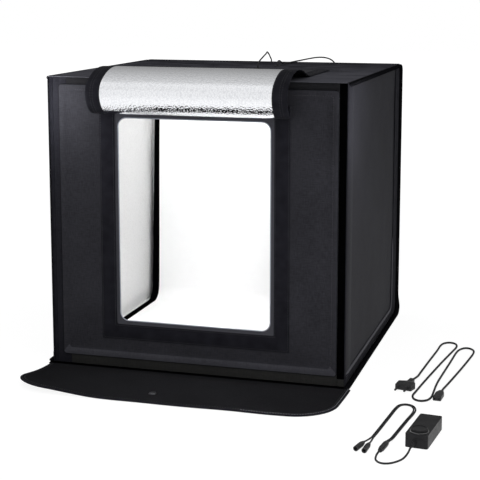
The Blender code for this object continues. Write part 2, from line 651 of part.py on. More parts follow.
def flap_curve():
    """Points (y, z) along the open flap and its length up to each, from the sewn line to the free end."""
    pieces = (
        (FLAP_CURL_TURN, FLAP_CURL_RADIUS), (0.0, None), (FLAP_BROW_TURN, FLAP_BROW_RADIUS),
        (FLAP_CROWN_TURN, FLAP_CROWN_RADIUS), (FLAP_FALL_TURN, FLAP_FALL_RADIUS), (0.0, FLAP_SLOPE_RUN),
        (-FLAP_FALL_TURN, FLAP_LANDING_RADIUS),
    )
    climb = 0.0
    angle = 90.0
    for turn, size in pieces:
        if turn:
            radius = math.copysign(size, turn)
            climb += radius * (math.sin(math.radians(angle)) - math.sin(math.radians(angle + turn)))
            angle += turn
        elif size:
            climb += flap_heading(angle).y * size
    rise = FLAP_ON_ROOF - FLAP_HINGE.z - climb
    point, angle, length = Vector((FLAP_HINGE.y, FLAP_HINGE.z)), 90.0, 0.0
    points, lengths = [point.copy()], [0.0]

    def run(distance, turn=0.0):
        nonlocal point, angle, length
        steps = max(1, round(distance / FLAP_STEP))
        for step in range(steps):
            angle += turn / steps / 2
            point = point + flap_heading(angle) * distance / steps
            angle += turn / steps / 2
            length += distance / steps
            points.append(point.copy())
            lengths.append(length)

    run(FLAP_ROOT_RUN)
    for turn, size in pieces:
        if turn:
            run(math.radians(abs(turn)) * size, turn)
        else:
            run(size if size else rise)
    run(FLAP_LENGTH - length)
    return points, lengths


def point_along(points, lengths, target):
    for index in range(len(points) - 1):
        if lengths[index + 1] >= target:
            share = (target - lengths[index]) / (lengths[index + 1] - lengths[index])
            return points[index].lerp(points[index + 1], share)
    return points[-1].copy()


def flap():
    """The open window flap as stiff panels hinged to each other along its curve."""
    points, lengths = flap_curve()
    cuts = [share * FLAP_LENGTH for share in FLAP_CUT_SHARES]
    parent = "door_pivot"
    for number, (start, end) in enumerate(zip(cuts, cuts[1:]), 1):
        axis = point_along(points, lengths, start)
        parent = pivot(f"flap_pivot_{number}", (0.0, axis.x, axis.y), parent)
        first = start + (FLAP_ROOT_SLIT if number == 1 else FLAP_GAP / 2)
        last = end if number == len(cuts) - 1 else end - FLAP_GAP / 2
        inner = [p for p, at in zip(points, lengths) if first + FLAP_STEP / 3 < at < last - FLAP_STEP / 3]
        if number == len(cuts) - 1:
            inner = [p for p in inner if p.y > FLAP_ON_ROOF + FIT]
        path = [point_along(points, lengths, first), *inner, point_along(points, lengths, last)]
        local = [(p.x - axis.x, p.y - axis.y) for p in path]
        plate(f"flap_panel_{number}", [strip_outline(local, FLAP_THICKNESS)], FLAP_WIDTH, "side",
              (0.0, axis.x, axis.y), "flap_cloth", parent)


def apron():
    """Closing flap at the foot of the front, with its binding and a snap, hinged at its rear edge."""
    place = pivot("apron_pivot", APRON_PIVOT)
    half = HALF_WIDTH + APRON_SIDE_OVERHANG
    rear, front = APRON_PIVOT.y - FIT, APRON_PIVOT.y - APRON_REACH
    inset = APRON_BINDING_WIDTH + FIT
    middle = FIT + APRON_BINDING_THICKNESS / 2
    sheet = rounded_outline(-half + inset, front + inset, half - inset, rear,
                            (APRON_CORNER - inset, APRON_CORNER - inset, 0, 0))
    plate("apron_sheet", [sheet], APRON_THICKNESS, "flat", (0.0, 0.0, middle), "black_cloth", place)
    outer = rounded_outline(-half, front, half, rear, (APRON_CORNER, APRON_CORNER, 0, 0))
    bend = APRON_CORNER - APRON_BINDING_WIDTH
    inner = rounded_outline(-half + APRON_BINDING_WIDTH, front + APRON_BINDING_WIDTH,
                            half - APRON_BINDING_WIDTH, rear, (bend, bend, 0, 0))
    # both outlines end at the open rear edge, so the band runs out along one and back along the other
    ring = [outer[-1], *outer[:-1], *inner[:-1][::-1], inner[-1]]
    plate("apron_binding", [ring], APRON_BINDING_THICKNESS, "flat", (0.0, 0.0, middle), "black_tape", place)
    top = middle + APRON_THICKNESS / 2 + FIT
    radius = SNAP_DIAMETER / 2
    profile = [
        (0.0, SNAP_HEIGHT - SNAP_WELL_DEPTH), (radius - SNAP_RIM, SNAP_HEIGHT - SNAP_WELL_DEPTH),
        (radius - SNAP_RIM, SNAP_HEIGHT), (radius - SNAP_RIM / 3, SNAP_HEIGHT),
        (radius, SNAP_HEIGHT / 2), (radius, 0.0), (0.0, 0.0),
    ]
    turned("apron_snap", profile, "snap_metal", (-SNAP_OFFSET, front + SNAP_SETBACK, top), (0, 0, 1), parent=place)


def backdrop():
    """White sweep with bound edges, hung on a strip of tape at the rear wall."""
    hang_face = LINER_Y - HANGING_TAPE_THICKNESS - FIT
    half = BACKDROP_THICKNESS / 2
    top_y = hang_face - BACKDROP_BINDING_THICKNESS / 2
    foot_z = LINER_FLOOR + BACKDROP_BINDING_THICKNESS / 2
    front_y = SURROUND_BACK + BACKDROP_FRONT_MARGIN
    corners = [(top_y, BACKDROP_TOP), (top_y, BACKDROP_TOP - HANGING_TAPE_HEIGHT),
               (top_y - BACKDROP_LEAN, foot_z), (front_y, foot_z)]
    path = [tuple(p) for p in rounded_path(corners, (BACKDROP_BEND, BACKDROP_BEND), BINDING_STEPS)]
    plate("backdrop", [strip_outline(path, 2 * half)], BACKDROP_WIDTH, "side", (0.0, 0.0, 0.0), "white_sheet")
    edge = BACKDROP_WIDTH / 2 + FIT + BACKDROP_BINDING / 2
    for side, sign in (("left", -1), ("right", 1)):
        plate(f"backdrop_binding_{side}", [strip_outline(path, BACKDROP_BINDING_THICKNESS)], BACKDROP_BINDING,
              "side", (sign * edge, 0.0, 0.0), "black_tape")
    low = BACKDROP_TOP - HANGING_TAPE_HEIGHT
    box("backdrop_tape", (-BACKDROP_WIDTH / 2, top_y + half + FIT, low), (BACKDROP_WIDTH / 2, LINER_Y, BACKDROP_TOP),
        "black_tape")


def light_bar(name, y):
    """Housing open below, with a strip of emitters under its roof and a diffuser in its mouth."""
    half, low = BAR_LENGTH / 2, LINER_TOP - BAR_HEIGHT
    housing = box(f"{name}_bar_housing", (-half, y - BAR_WIDTH / 2, low), (half, y + BAR_WIDTH / 2, LINER_TOP),
                  "bar_metal")
    inner = BAR_WIDTH / 2 - BAR_WALL
    hollow = box(f"{name}_bar_hollow", (-half + BAR_WALL, y - inner, low - OVERRUN),
                 (half - BAR_WALL, y + inner, LINER_TOP - BAR_WALL), "bar_metal")
    combine(housing, hollow, "DIFFERENCE")
    end, side = half - BAR_WALL - FIT, inner - FIT
    roof = LINER_TOP - BAR_WALL - FIT
    box(f"{name}_light_strip", (-end, y - side, roof - STRIP_THICKNESS), (end, y + side, roof), "light_strip")
    box(f"{name}_diffuser", (-end, y - side, low), (end, y + side, low + DIFFUSER_THICKNESS), "diffuser")


def socket_profile(length):
    """Barrel socket: open bore at the top, body, then a thin tail where the lead enters."""
    body, tail, bore = SOCKET_DIAMETER / 2, SOCKET_TAIL_DIAMETER / 2, SOCKET_BORE / 2
    return [
        (0.0, length - SOCKET_BORE_DEPTH), (bore, length - SOCKET_BORE_DEPTH), (bore, length),
        (body - SOCKET_EDGE, length), (body, length - SOCKET_EDGE), (body, SOCKET_TAIL),
        (tail, 0.0), (0.0, 0.0),
    ]


def socket(name, route):
    """Socket on the far end of a lead, in line with it."""
    end = Vector(route[-1])
    along = (end - Vector(route[-2])).normalized()
    turned(name, socket_profile(SOCKET_LENGTH), "plug_plastic", end + along * FIT, along, SMALL_TURN_STEPS)


def adapter_place(x, y, z):
    """A place given in the adapter's own frame, from the middle of its underside."""
    turn = Matrix.Rotation(math.radians(ADAPTER_TURN), 4, "Z")
    return Matrix.Translation((*ADAPTER_PLACE, 0.0)) @ turn @ Vector((x, y, z))


ADAPTER_EULER = (0.0, 0.0, math.radians(ADAPTER_TURN))


def adapter_block(name, low, high, finish):
    low, high = Vector(low), Vector(high)
    return add(name, block_mesh(name, high - low), finish, adapter_place(*((low + high) / 2)), ADAPTER_EULER)


def adapter_shell(name, low, high, open_side):
    """Half a casing: a rounded block hollowed out from its open side."""
    half_w, half_l = ADAPTER_WIDTH / 2, ADAPTER_LENGTH / 2
    rim = rounded_outline(-half_w, -half_l, half_w, half_l, (ADAPTER_CORNER,) * 4)
    shell_piece = plate(name, [rim], high - low, "flat", adapter_place(0.0, 0.0, (low + high) / 2),
                        "adapter_plastic")
    shell_piece.rotation_euler = ADAPTER_EULER
    weld = shell_piece.modifiers.new("caps", "WELD")
    weld.merge_threshold = 0.00001
    mesh_piece = mesh_copy(shell_piece)
    wall = ADAPTER_WALL
    cut_low = low + wall if open_side > 0 else low - OVERRUN
    cut_high = high + OVERRUN if open_side > 0 else high - wall
    hollow = adapter_block(name + "_hollow", (-half_w + wall, -half_l + wall, cut_low),
                           (half_w - wall, half_l - wall, cut_high), "adapter_plastic")
    combine(mesh_piece, hollow, "DIFFERENCE")
    return mesh_piece


def mesh_copy(piece):
    """Replaces a curve piece by its own mesh, so that it can be cut."""
    graph = bpy.context.evaluated_depsgraph_get()
    data = bpy.data.meshes.new_from_object(piece.evaluated_get(graph))
    bm = bmesh.new()
    bm.from_mesh(data)
    bmesh.ops.remove_doubles(bm, verts=bm.verts, dist=0.00001)
    bm.to_mesh(data)
    bm.free()
    name, matrix, curve = piece.name, piece.matrix_world.copy(), piece.data
    finish = curve.materials[0]
    bpy.data.objects.remove(piece, do_unlink=True)
    bpy.data.curves.remove(curve)
    copy = bpy.data.objects.new(name, data)
    parts.objects.link(copy)
    copy.matrix_world = matrix
    if not data.materials:
        data.materials.append(finish)
    return copy


def adapter():
    """Adapter: base and cover, mains inlet, dimmer knob on its control, and the lead's strain relief."""
    half_l = ADAPTER_LENGTH / 2
    base = adapter_shell("adapter_base", 0.0, ADAPTER_SPLIT, 1)
    cover = adapter_shell("adapter_cover", ADAPTER_SPLIT + FIT, ADAPTER_HEIGHT, -1)
    half_w, half_h = INLET_WIDTH / 2, INLET_HEIGHT / 2
    port = adapter_block("inlet_port", (-half_w - FIT, half_l - ADAPTER_WALL - OVERRUN, INLET_LIFT - half_h - FIT),
                         (half_w + FIT, half_l + OVERRUN, INLET_LIFT + half_h + FIT), "adapter_plastic")
    combine(base, port, "DIFFERENCE")
    mains_inlet(half_l)
    hole = turned("relief_hole", straight_profile(RELIEF_NECK / 2 + FIT, ADAPTER_WALL + OVERRUN), "adapter_plastic",
                  adapter_place(-RELIEF_OFFSET, -half_l, RELIEF_LIFT),
                  adapter_place(0, 1, 0) - adapter_place(0, 0, 0), SMALL_TURN_STEPS)
    combine(base, hole, "DIFFERENCE")
    strain_relief(half_l)
    knob_y = -half_l + KNOB_SETBACK
    shaft_hole = turned("shaft_hole", straight_profile(SHAFT_DIAMETER / 2 + FIT, ADAPTER_WALL + OVERRUN),
                        "adapter_plastic", adapter_place(0.0, knob_y, ADAPTER_HEIGHT), (0, 0, 1), SMALL_TURN_STEPS)
    combine(cover, shaft_hole, "DIFFERENCE")
    dimmer(knob_y)


def mains_inlet(half_l):
    """Two-pin inlet: a sleeve through the end wall with its flange outside and pins inside."""
    half_w, half_h = INLET_WIDTH / 2, INLET_HEIGHT / 2
    outer = half_l
    sleeve = adapter_block("mains_inlet", (-half_w, outer - INLET_DEPTH, INLET_LIFT - half_h),
                           (half_w, outer + INLET_FLANGE, INLET_LIFT + half_h), "plug_plastic")
    cavity = adapter_block("inlet_cavity",
                           (-half_w + INLET_WALL, outer - INLET_DEPTH + INLET_WALL, INLET_LIFT - half_h + INLET_WALL),
                           (half_w - INLET_WALL, outer + INLET_FLANGE + OVERRUN, INLET_LIFT + half_h - INLET_WALL),
                           "plug_plastic")
    combine(sleeve, cavity, "DIFFERENCE")
    root = outer - INLET_DEPTH + INLET_WALL / 2
    for side, sign in (("left", -1), ("right", 1)):
        length = INLET_PIN_LENGTH + INLET_WALL / 2
        pin = turned(f"inlet_pin_{side}", straight_profile(INLET_PIN / 2, length / 2), "snap_metal",
                     adapter_place(sign * INLET_PIN_SPACING / 2, root + length / 2, INLET_LIFT),
                     adapter_place(0, 1, 0) - adapter_place(0, 0, 0), SMALL_TURN_STEPS)
        combine(sleeve, pin, "UNION")


def strain_relief(half_l):
    """Tapered relief: a flange inside the wall, a neck through it and a long tip outside."""
    flange, neck, tip = RELIEF_FLANGE / 2, RELIEF_NECK / 2, RELIEF_TIP / 2
    inside = ADAPTER_WALL + FIT
    profile = [
        (0.0, inside + RELIEF_FLANGE_THICKNESS), (flange, inside + RELIEF_FLANGE_THICKNESS), (flange, inside),
        (neck, inside), (neck, -FIT), (tip, -RELIEF_LENGTH), (0.0, -RELIEF_LENGTH),
    ]
    turned("dc_strain_relief", profile, "plug_plastic", adapter_place(-RELIEF_OFFSET, -half_l, RELIEF_LIFT),
           adapter_place(0, 1, 0) - adapter_place(0, 0, 0), SMALL_TURN_STEPS)


def dimmer(knob_y):
    """Knob with its shaft, which turns in the control under the cover."""
    place = pivot("knob_pivot", adapter_place(0.0, knob_y, ADAPTER_HEIGHT))
    radius, shaft = KNOB_DIAMETER / 2, SHAFT_DIAMETER / 2
    top = FIT + KNOB_HEIGHT
    profile = [
        (0.0, top - KNOB_RECESS), (radius - 2 * KNOB_EDGE, top - KNOB_RECESS), (radius - 2 * KNOB_EDGE, top),
        (radius - KNOB_EDGE, top), (radius, top - KNOB_EDGE), (radius, FIT), (shaft, FIT),
        (shaft, FIT - SHAFT_LENGTH), (0.0, FIT - SHAFT_LENGTH),
    ]
    knob = turned("dimmer_knob", profile, "knob_plastic", pivots[place], (0, 0, 1), parent=place)
    marker = add("knob_marker", block_mesh("knob_marker", (KNOB_EDGE, radius * 2 / 3, KNOB_RECESS * 2)),
                 "knob_plastic", pivots[place] + Vector((0.0, radius * 2 / 3 - KNOB_EDGE, top)))
    combine(knob, marker, "DIFFERENCE")
    under = ADAPTER_HEIGHT - ADAPTER_WALL - FIT
    half = CONTROL_SIZE / 2
    control = adapter_block("dimmer_control", (-half, knob_y - half, under - CONTROL_HEIGHT),
                            (half, knob_y + half, under), "adapter_plastic")
    well_bottom = ADAPTER_HEIGHT - SHAFT_LENGTH
    well = turned("control_well", straight_profile(shaft + FIT, OVERRUN), "adapter_plastic",
                  adapter_place(0.0, knob_y, well_bottom + OVERRUN), (0, 0, 1), SMALL_TURN_STEPS)
    combine(control, well, "DIFFERENCE")


def tapered_body(name, stations, finish, place, direction):
    """A moulded body lofted through (distance, width, thickness) stations along direction."""
    bm = bmesh.new()
    bmesh.ops.create_cube(bm, size=1.0)
    first, last = stations[0], stations[-1]
    for vert in bm.verts:
        station = first if vert.co.y < 0 else last
        vert.co = (vert.co.x * station[1], station[0], vert.co.z * station[2])
    for distance, width, thickness in stations[1:-1]:
        cut = bmesh.ops.bisect_plane(bm, geom=bm.verts[:] + bm.edges[:] + bm.faces[:],
                                     plane_co=(0.0, distance, 0.0), plane_no=(0.0, 1.0, 0.0))
        ring = [item for item in cut["geom_cut"] if isinstance(item, bmesh.types.BMVert)]
        for vert in ring:
            vert.co.x = math.copysign(width / 2, vert.co.x)
            vert.co.z = math.copysign(thickness / 2, vert.co.z)
    body = add(name, mesh_from(bm, name), finish, place)
    flat = Vector((direction[0], direction[1], 0.0)).normalized()
    body.rotation_euler = (0.0, 0.0, math.atan2(-flat.x, flat.y))
    return body


def mains_plug():
    """Two-pin plug lying flat, its nose where the mains lead begins and its pins away from it."""
    start = Vector(MAINS_ROUTE[0])
    away = Vector(MAINS_ROUTE[0]) - Vector(MAINS_ROUTE[1])
    flat = Vector((away.x, away.y, 0.0)).normalized()
    middle = PLUG_THICKNESS / 2 + FIT
    place = Vector((start.x, start.y, middle)) + flat * FIT
    stations = ((0.0, PLUG_NOSE_WIDTH, PLUG_NOSE_THICKNESS), (PLUG_NOSE_LENGTH, PLUG_NOSE_WIDTH, PLUG_NOSE_THICKNESS),
                (PLUG_NOSE_LENGTH + PLUG_SHOULDER, PLUG_WIDTH, PLUG_THICKNESS),
                (PLUG_BODY_LENGTH, PLUG_WIDTH - PLUG_EDGE, PLUG_THICKNESS - PLUG_EDGE))
    body = tapered_body("mains_plug", stations, "plug_plastic", place, flat)
    round_edges(body, PLUG_EDGE / 2)
    side = Vector((-flat.y, flat.x, 0.0))
    length = PIN_LENGTH + PLUG_EDGE
    for name, sign in (("left", -1), ("right", 1)):
        spot = place + flat * (PLUG_BODY_LENGTH - PLUG_EDGE + length / 2) + side * sign * PIN_SPACING / 2
        pin = turned(f"plug_pin_{name}", straight_profile(PIN_DIAMETER / 2, length / 2), "snap_metal", spot, flat,
                     SMALL_TURN_STEPS)
        combine(body, pin, "UNION")


def mains_connector():
    """Figure-eight connector lying flat at the far end of the mains lead, its two holes outwards."""
    end = Vector(MAINS_ROUTE[-1])
    along = end - Vector(MAINS_ROUTE[-2])
    flat = Vector((along.x, along.y, 0.0)).normalized()
    place = Vector((end.x, end.y, CONNECTOR_THICKNESS / 2 + FIT)) + flat * FIT
    stations = ((0.0, CONNECTOR_TAIL_WIDTH, CONNECTOR_TAIL_THICKNESS),
                (CONNECTOR_TAIL, CONNECTOR_WIDTH, CONNECTOR_THICKNESS),
                (CONNECTOR_LENGTH, CONNECTOR_WIDTH, CONNECTOR_THICKNESS))
    body = tapered_body("mains_connector", stations, "plug_plastic", place, flat)
    round_edges(body, CONNECTOR_THICKNESS / 5)
    side = Vector((-flat.y, flat.x, 0.0))
    for name, sign in (("left", -1), ("right", 1)):
        spot = place + flat * CONNECTOR_LENGTH + side * sign * INLET_PIN_SPACING / 2
        hole = turned(f"connector_hole_{name}", straight_profile(CONNECTOR_HOLE / 2, CONNECTOR_HOLE_DEPTH),
                      "plug_plastic", spot, flat, SMALL_TURN_STEPS)
        combine(body, hole, "DIFFERENCE")


def inline_connector():
    """The joined pair of barrel connectors between the adapter's lead and the splitter."""
    start, end = Vector(DC_ROUTE[-1]), Vector(PAIR_ROUTE[0])
    along = (end - start).normalized()
    length = (end - start).length - 2 * FIT
    body, tail, groove = INLINE_DIAMETER / 2, INLINE_TAIL_DIAMETER / 2, INLINE_GROOVE
    profile = [
        (0.0, length), (tail, length), (body, length - INLINE_TAIL), (body, length / 2 + groove),
        (body - groove, length / 2), (body, length / 2 - groove), (body, INLINE_TAIL), (tail, 0.0), (0.0, 0.0),
    ]
    turned("inline_connector", profile, "plug_plastic", start + along * FIT, along, SMALL_TURN_STEPS)


def pair_side(route, sign):
    """The route of one lead of a pair that lies side by side."""
    shifted = []
    for index, point in enumerate(route):
        before = Vector(route[max(index - 1, 0)])
        after = Vector(route[min(index + 1, len(route) - 1)])
        along = (after - before).normalized()
        across = Vector((-along.y, along.x, 0.0)).normalized()
        shifted.append(tuple(Vector(point) + across * sign * SPLIT_SPREAD))
    return shifted


def leads():
    """All free cords and what they carry."""
    cord("front_bar_lead", FRONT_LEAD_ROUTE, LEAD_DIAMETER)
    cord("rear_bar_lead", REAR_LEAD_ROUTE, LEAD_DIAMETER)
    socket("front_lead_socket", FRONT_LEAD_ROUTE)
    socket("rear_lead_socket", REAR_LEAD_ROUTE)
    cord("mains_lead", MAINS_ROUTE, MAINS_DIAMETER)
    mains_plug()
    mains_connector()
    cord("dc_lead", DC_ROUTE, DC_DIAMETER)
    inline_connector()
    for side, sign in (("left", -1), ("right", 1)):
        route = pair_side(PAIR_ROUTE, sign) + list(SPLIT_ENDS[side])
        cord(f"splitter_lead_{side}", route, SPLIT_DIAMETER)
        socket(f"splitter_socket_{side}", route)


def main():
    clear_scene()
    make_collections()
    make_materials()
    side_wall("left", -1)
    side_wall("right", 1)
    shell()
    grommet("front_roof_grommet", FRONT_LEAD_ROUTE)
    grommet("rear_roof_grommet", REAR_LEAD_ROUTE)
    front_surround()
    backdrop()
    for name, y in BARS_Y.items():
        light_bar(name, y)
    door()
    flap()
    apron()
    adapter()
    leads()
    bpy.context.view_layer.update()


main()
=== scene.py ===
"""Light tent cube: black sewn cloth outside, pebbled silver foil inside, its window flap thrown over
the roof, its apron lying in front and its dimmed supply beside it. Metres; the front faces -Y."""

import bisect
import math

import bmesh
import bpy
from mathutils import Matrix, Vector, noise


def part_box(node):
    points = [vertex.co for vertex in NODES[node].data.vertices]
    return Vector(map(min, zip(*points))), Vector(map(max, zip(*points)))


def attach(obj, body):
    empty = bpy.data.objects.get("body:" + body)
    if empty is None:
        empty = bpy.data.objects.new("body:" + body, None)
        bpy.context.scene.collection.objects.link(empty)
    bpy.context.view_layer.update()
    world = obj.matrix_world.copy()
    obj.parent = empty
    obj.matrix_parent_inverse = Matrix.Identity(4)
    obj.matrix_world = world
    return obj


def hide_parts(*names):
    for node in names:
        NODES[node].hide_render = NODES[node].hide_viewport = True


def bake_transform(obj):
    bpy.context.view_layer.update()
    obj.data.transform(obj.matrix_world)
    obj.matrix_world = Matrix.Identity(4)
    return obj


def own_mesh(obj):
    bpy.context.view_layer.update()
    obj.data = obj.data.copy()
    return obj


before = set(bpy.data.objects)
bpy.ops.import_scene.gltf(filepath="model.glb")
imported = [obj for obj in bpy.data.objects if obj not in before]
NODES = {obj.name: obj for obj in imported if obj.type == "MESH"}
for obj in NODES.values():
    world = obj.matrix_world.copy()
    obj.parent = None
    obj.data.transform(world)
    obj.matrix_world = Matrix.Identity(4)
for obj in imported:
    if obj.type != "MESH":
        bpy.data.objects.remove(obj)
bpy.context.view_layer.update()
TENT = "tent"

# Camera, as the photograph was taken
CAMERA_PLACE = (0.783, -2.6402, 0.785)
CAMERA_TURN = 16.346
CAMERA_DIP = 8.86
LENS_MM = 94.51
LENS_SHIFT = -0.125

# Sizes that the solids were built with
HALF_WIDTH = 0.310
HALF_DEPTH = 0.300
HEIGHT = 0.600
FIT = 0.0003
CLOTH = 0.0012
LINER = 0.0022
INNER_X = HALF_WIDTH - CLOTH - FIT
WINDOW_HALF = 0.1585
WINDOW_SILL = 0.1025
WINDOW_TOP = 0.520
WINDOW_CORNER = 0.018
LIP_WIDTH = 0.008
LIP_CORNER = 0.004
TAPE_WIDTH = 0.031
FLAP_THICKNESS = 0.0014
FLAP_CUT_SHARES = (0.0, 0.090, 0.183, 0.285, 0.420, 0.590, 1.0)

# Path of the open flap from the header on, as degrees of turn and radius. A turn of zero is a straight
# run of that length, and the run without a length takes up the rise that is left.
FLAP_TURNS = (
    (45.0, 0.031), (19.0, 0.070), (26.0, 0.0275), (0.0, None), (55.0, 0.030), (35.0, 0.130),
    (17.0, 0.200), (0.0, 0.010), (-17.0, 0.155),
)
FLAP_ROOT_RUN = 0.008
FLAP_STEP = 0.0025
FLAP_REACH = 0.0015
APRON_CORNER = 0.075
BINDING_RADIUS = 0.004
BINDING_LOWER_BEND = 0.026
BINDING_UPPER_BEND = 0.012
BACKDROP_BEND = 0.035

# Routes of the leads, from the solids
FRONT_LEAD_ROUTE = (
    (0.035, -0.1297, 0.59), (0.035, -0.115, 0.5895), (0.035, -0.075, 0.589), (0.035, -0.03, 0.5885),
    (0.035, 0.01, 0.588), (0.035, 0.038, 0.588), (0.035, 0.044, 0.589), (0.035, 0.0483, 0.5917),
    (0.035, 0.05, 0.596), (0.035, 0.05, 0.602), (0.035, 0.0512, 0.607), (0.035, 0.056, 0.6115),
    (0.0349, 0.068, 0.616), (0.0342, 0.095, 0.622), (0.03, 0.14, 0.628), (0.0215, 0.18, 0.629),
    (0.013, 0.225, 0.6225), (0.006, 0.265, 0.6125), (0.0025, 0.286, 0.607), (0.0, 0.2985, 0.6038),
    (-0.002, 0.3055, 0.598), (-0.0028, 0.308, 0.588), (-0.003, 0.3085, 0.54), (-0.001, 0.309, 0.46),
    (0.002, 0.309, 0.37), (0.003, 0.3085, 0.29), (0.002, 0.3085, 0.24), (0.002, 0.3085, 0.225),
)
REAR_LEAD_ROUTE = (
    (0.0588, 0.1597, 0.5885), (0.0588, 0.15, 0.588), (0.0588, 0.14, 0.588), (0.0588, 0.1345, 0.5892),
    (0.0588, 0.1312, 0.592), (0.0588, 0.13, 0.596), (0.0588, 0.13, 0.603), (0.0588, 0.1318, 0.608),
    (0.0589, 0.137, 0.611), (0.059, 0.147, 0.6115), (0.0591, 0.16, 0.6085), (0.0592, 0.178, 0.604),
    (0.0595, 0.205, 0.6022), (0.0605, 0.24, 0.6021), (0.064, 0.272, 0.6026), (0.074, 0.295, 0.6042),
    (0.09, 0.3055, 0.6075), (0.108, 0.308, 0.6105), (0.126, 0.3085, 0.611), (0.143, 0.309, 0.6065),
    (0.154, 0.309, 0.596), (0.159, 0.309, 0.578), (0.16, 0.309, 0.54), (0.159, 0.309, 0.46),
    (0.157, 0.309, 0.36), (0.1565, 0.309, 0.26), (0.157, 0.309, 0.16), (0.1575, 0.309, 0.09),
    (0.1575, 0.309, 0.075),
)
MAINS_ROUTE = (
    (0.433, -0.229, 0.0068), (0.4347, -0.2205, 0.0068), (0.4362, -0.211, 0.006), (0.438, -0.188, 0.0032),
    (0.4395, -0.16, 0.0025), (0.445, -0.08, 0.0025), (0.451, 0.0, 0.0025), (0.453, 0.04, 0.0025),
    (0.458, 0.062, 0.0025), (0.4705, 0.072, 0.0025), (0.4835, 0.064, 0.0025), (0.488, 0.042, 0.0025),
    (0.484, 0.008, 0.0025), (0.474, -0.064, 0.0025), (0.464, -0.144, 0.0025), (0.455, -0.22, 0.0025),
    (0.448, -0.286, 0.0025), (0.446, -0.312, 0.0025), (0.4515, -0.331, 0.0025), (0.4635, -0.3385, 0.0025),
    (0.476, -0.331, 0.0025), (0.4815, -0.311, 0.0025), (0.4815, -0.28, 0.0025), (0.481, -0.22, 0.0025),
    (0.485, -0.14, 0.0025), (0.489, -0.07, 0.0025), (0.492, -0.01, 0.0025), (0.496, 0.02, 0.0025),
    (0.506, 0.038, 0.0025), (0.518, 0.037, 0.0025), (0.527, 0.022, 0.0025), (0.528, -0.002, 0.0025),
    (0.524, -0.044, 0.0025), (0.516, -0.114, 0.0025), (0.507, -0.184, 0.0025), (0.5015, -0.226, 0.0027),
    (0.499, -0.25, 0.004), (0.4978, -0.264, 0.0049), (0.4973, -0.2715, 0.0049), (0.4968, -0.279, 0.0049),
)
DC_ROUTE = (
    (0.4873, -0.6026, 0.01), (0.4866, -0.61, 0.0096), (0.4845, -0.622, 0.0052), (0.4798, -0.639, 0.0022),
    (0.4715, -0.656, 0.0021), (0.459, -0.668, 0.0021), (0.446, -0.669, 0.0022), (0.437, -0.659, 0.0027),
    (0.435, -0.644, 0.004), (0.436, -0.632, 0.0052), (0.4375, -0.622, 0.0054),
)
PAIR_ROUTE = (
    (0.4425, -0.5805, 0.0054), (0.444, -0.57, 0.005), (0.4465, -0.55, 0.0026), (0.4515, -0.5, 0.0019),
    (0.457, -0.45, 0.0019), (0.4615, -0.414, 0.0019), (0.4615, -0.39, 0.0019), (0.4545, -0.372, 0.0019),
    (0.4425, -0.3655, 0.0019), (0.4315, -0.373, 0.0019), (0.4265, -0.396, 0.0019), (0.4235, -0.43, 0.0019),
    (0.419, -0.484, 0.0019), (0.415, -0.53, 0.0019), (0.4125, -0.556, 0.0021),
)
SPLIT_ENDS = {
    "left": ((0.407, -0.576, 0.0038), (0.4046, -0.586, 0.0049), (0.4036, -0.591, 0.005)),
    "right": ((0.4147, -0.576, 0.0038), (0.4145, -0.588, 0.0049), (0.4141, -0.595, 0.005)),
}
SPLIT_SPREAD = 0.0018
ROUTE_STEPS = 8


def add_object(name, data):
    """Makes an object of this data and puts it in the scene."""
    made = bpy.data.objects.new(name, data)
    bpy.context.scene.collection.objects.link(made)
    return made


def place_camera():
    data = bpy.data.cameras.new("camera")
    data.lens = LENS_MM
    data.shift_y = LENS_SHIFT
    data.clip_start = 0.05
    data.clip_end = 60.0
    camera = add_object("camera", data)
    camera.location = CAMERA_PLACE
    camera.rotation_euler = (math.radians(90.0 - CAMERA_DIP), 0.0, math.radians(CAMERA_TURN))
    bpy.context.scene.camera = camera


# Materials


def feed(tree, socket, source):
    """Links a socket to another node, or sets it to a plain value."""
    if isinstance(source, bpy.types.NodeSocket):
        tree.links.new(source, socket)
    else:
        socket.default_value = source


def feed_all(tree, made, sources):
    """Feeds the inputs of a node by their labels."""
    for label, source in sources.items():
        feed(tree, made.inputs[label], source)


def node(tree, kind, *sources, **settings):
    """Adds a shader node with these settings and feeds its inputs in order. None skips an input."""
    made = tree.nodes.new("ShaderNode" + kind)
    for name, value in settings.items():
        setattr(made, name, value)
    for socket, source in zip(made.inputs, sources):
        if source is not None:
            feed(tree, socket, source)
    return made


def calculate(tree, operation, *sources):
    return node(tree, "Math", *sources, operation=operation).outputs[0]


def times(tree, first, second):
    return calculate(tree, "MULTIPLY", first, second)


def times_plus(tree, first, second, third):
    return calculate(tree, "MULTIPLY_ADD", first, second, third)


def mixed(tree, amount, first, second):
    return node(tree, "Mix", amount, *[None] * 5, first, second, data_type="RGBA").outputs[2]


def speckle(tree, place, scale, detail=2.0):
    return node(tree, "TexNoise", place, None, scale, detail).outputs[0]


def spread(tree, source, low, high):
    """Stretches a value from 0..1 to low..high."""
    return node(tree, "MapRange", source, 0.0, 1.0, low, high).outputs[0]


def parts_of(tree, place):
    return node(tree, "SeparateXYZ", place).outputs


SURFACE_INPUTS = {"Place": "Vector", "Count": "Float", "Colour": "Color", "Second": "Color",
                  "Roughness": "Float"}
SURFACE_OUTPUTS = {"Colour": "Color", "Height": "Float", "Roughness": "Float"}


def effect(name):
    """A shader group that puts out a colour, a height and a roughness."""
    tree = bpy.data.node_groups.new(name, "ShaderNodeTree")
    for way, sockets in (("INPUT", SURFACE_INPUTS), ("OUTPUT", SURFACE_OUTPUTS)):
        for label, kind in sockets.items():
            tree.interface.new_socket(label, in_out=way, socket_type="NodeSocket" + kind)
    return tree, tree.nodes.new("NodeGroupInput").outputs, tree.nodes.new("NodeGroupOutput").inputs


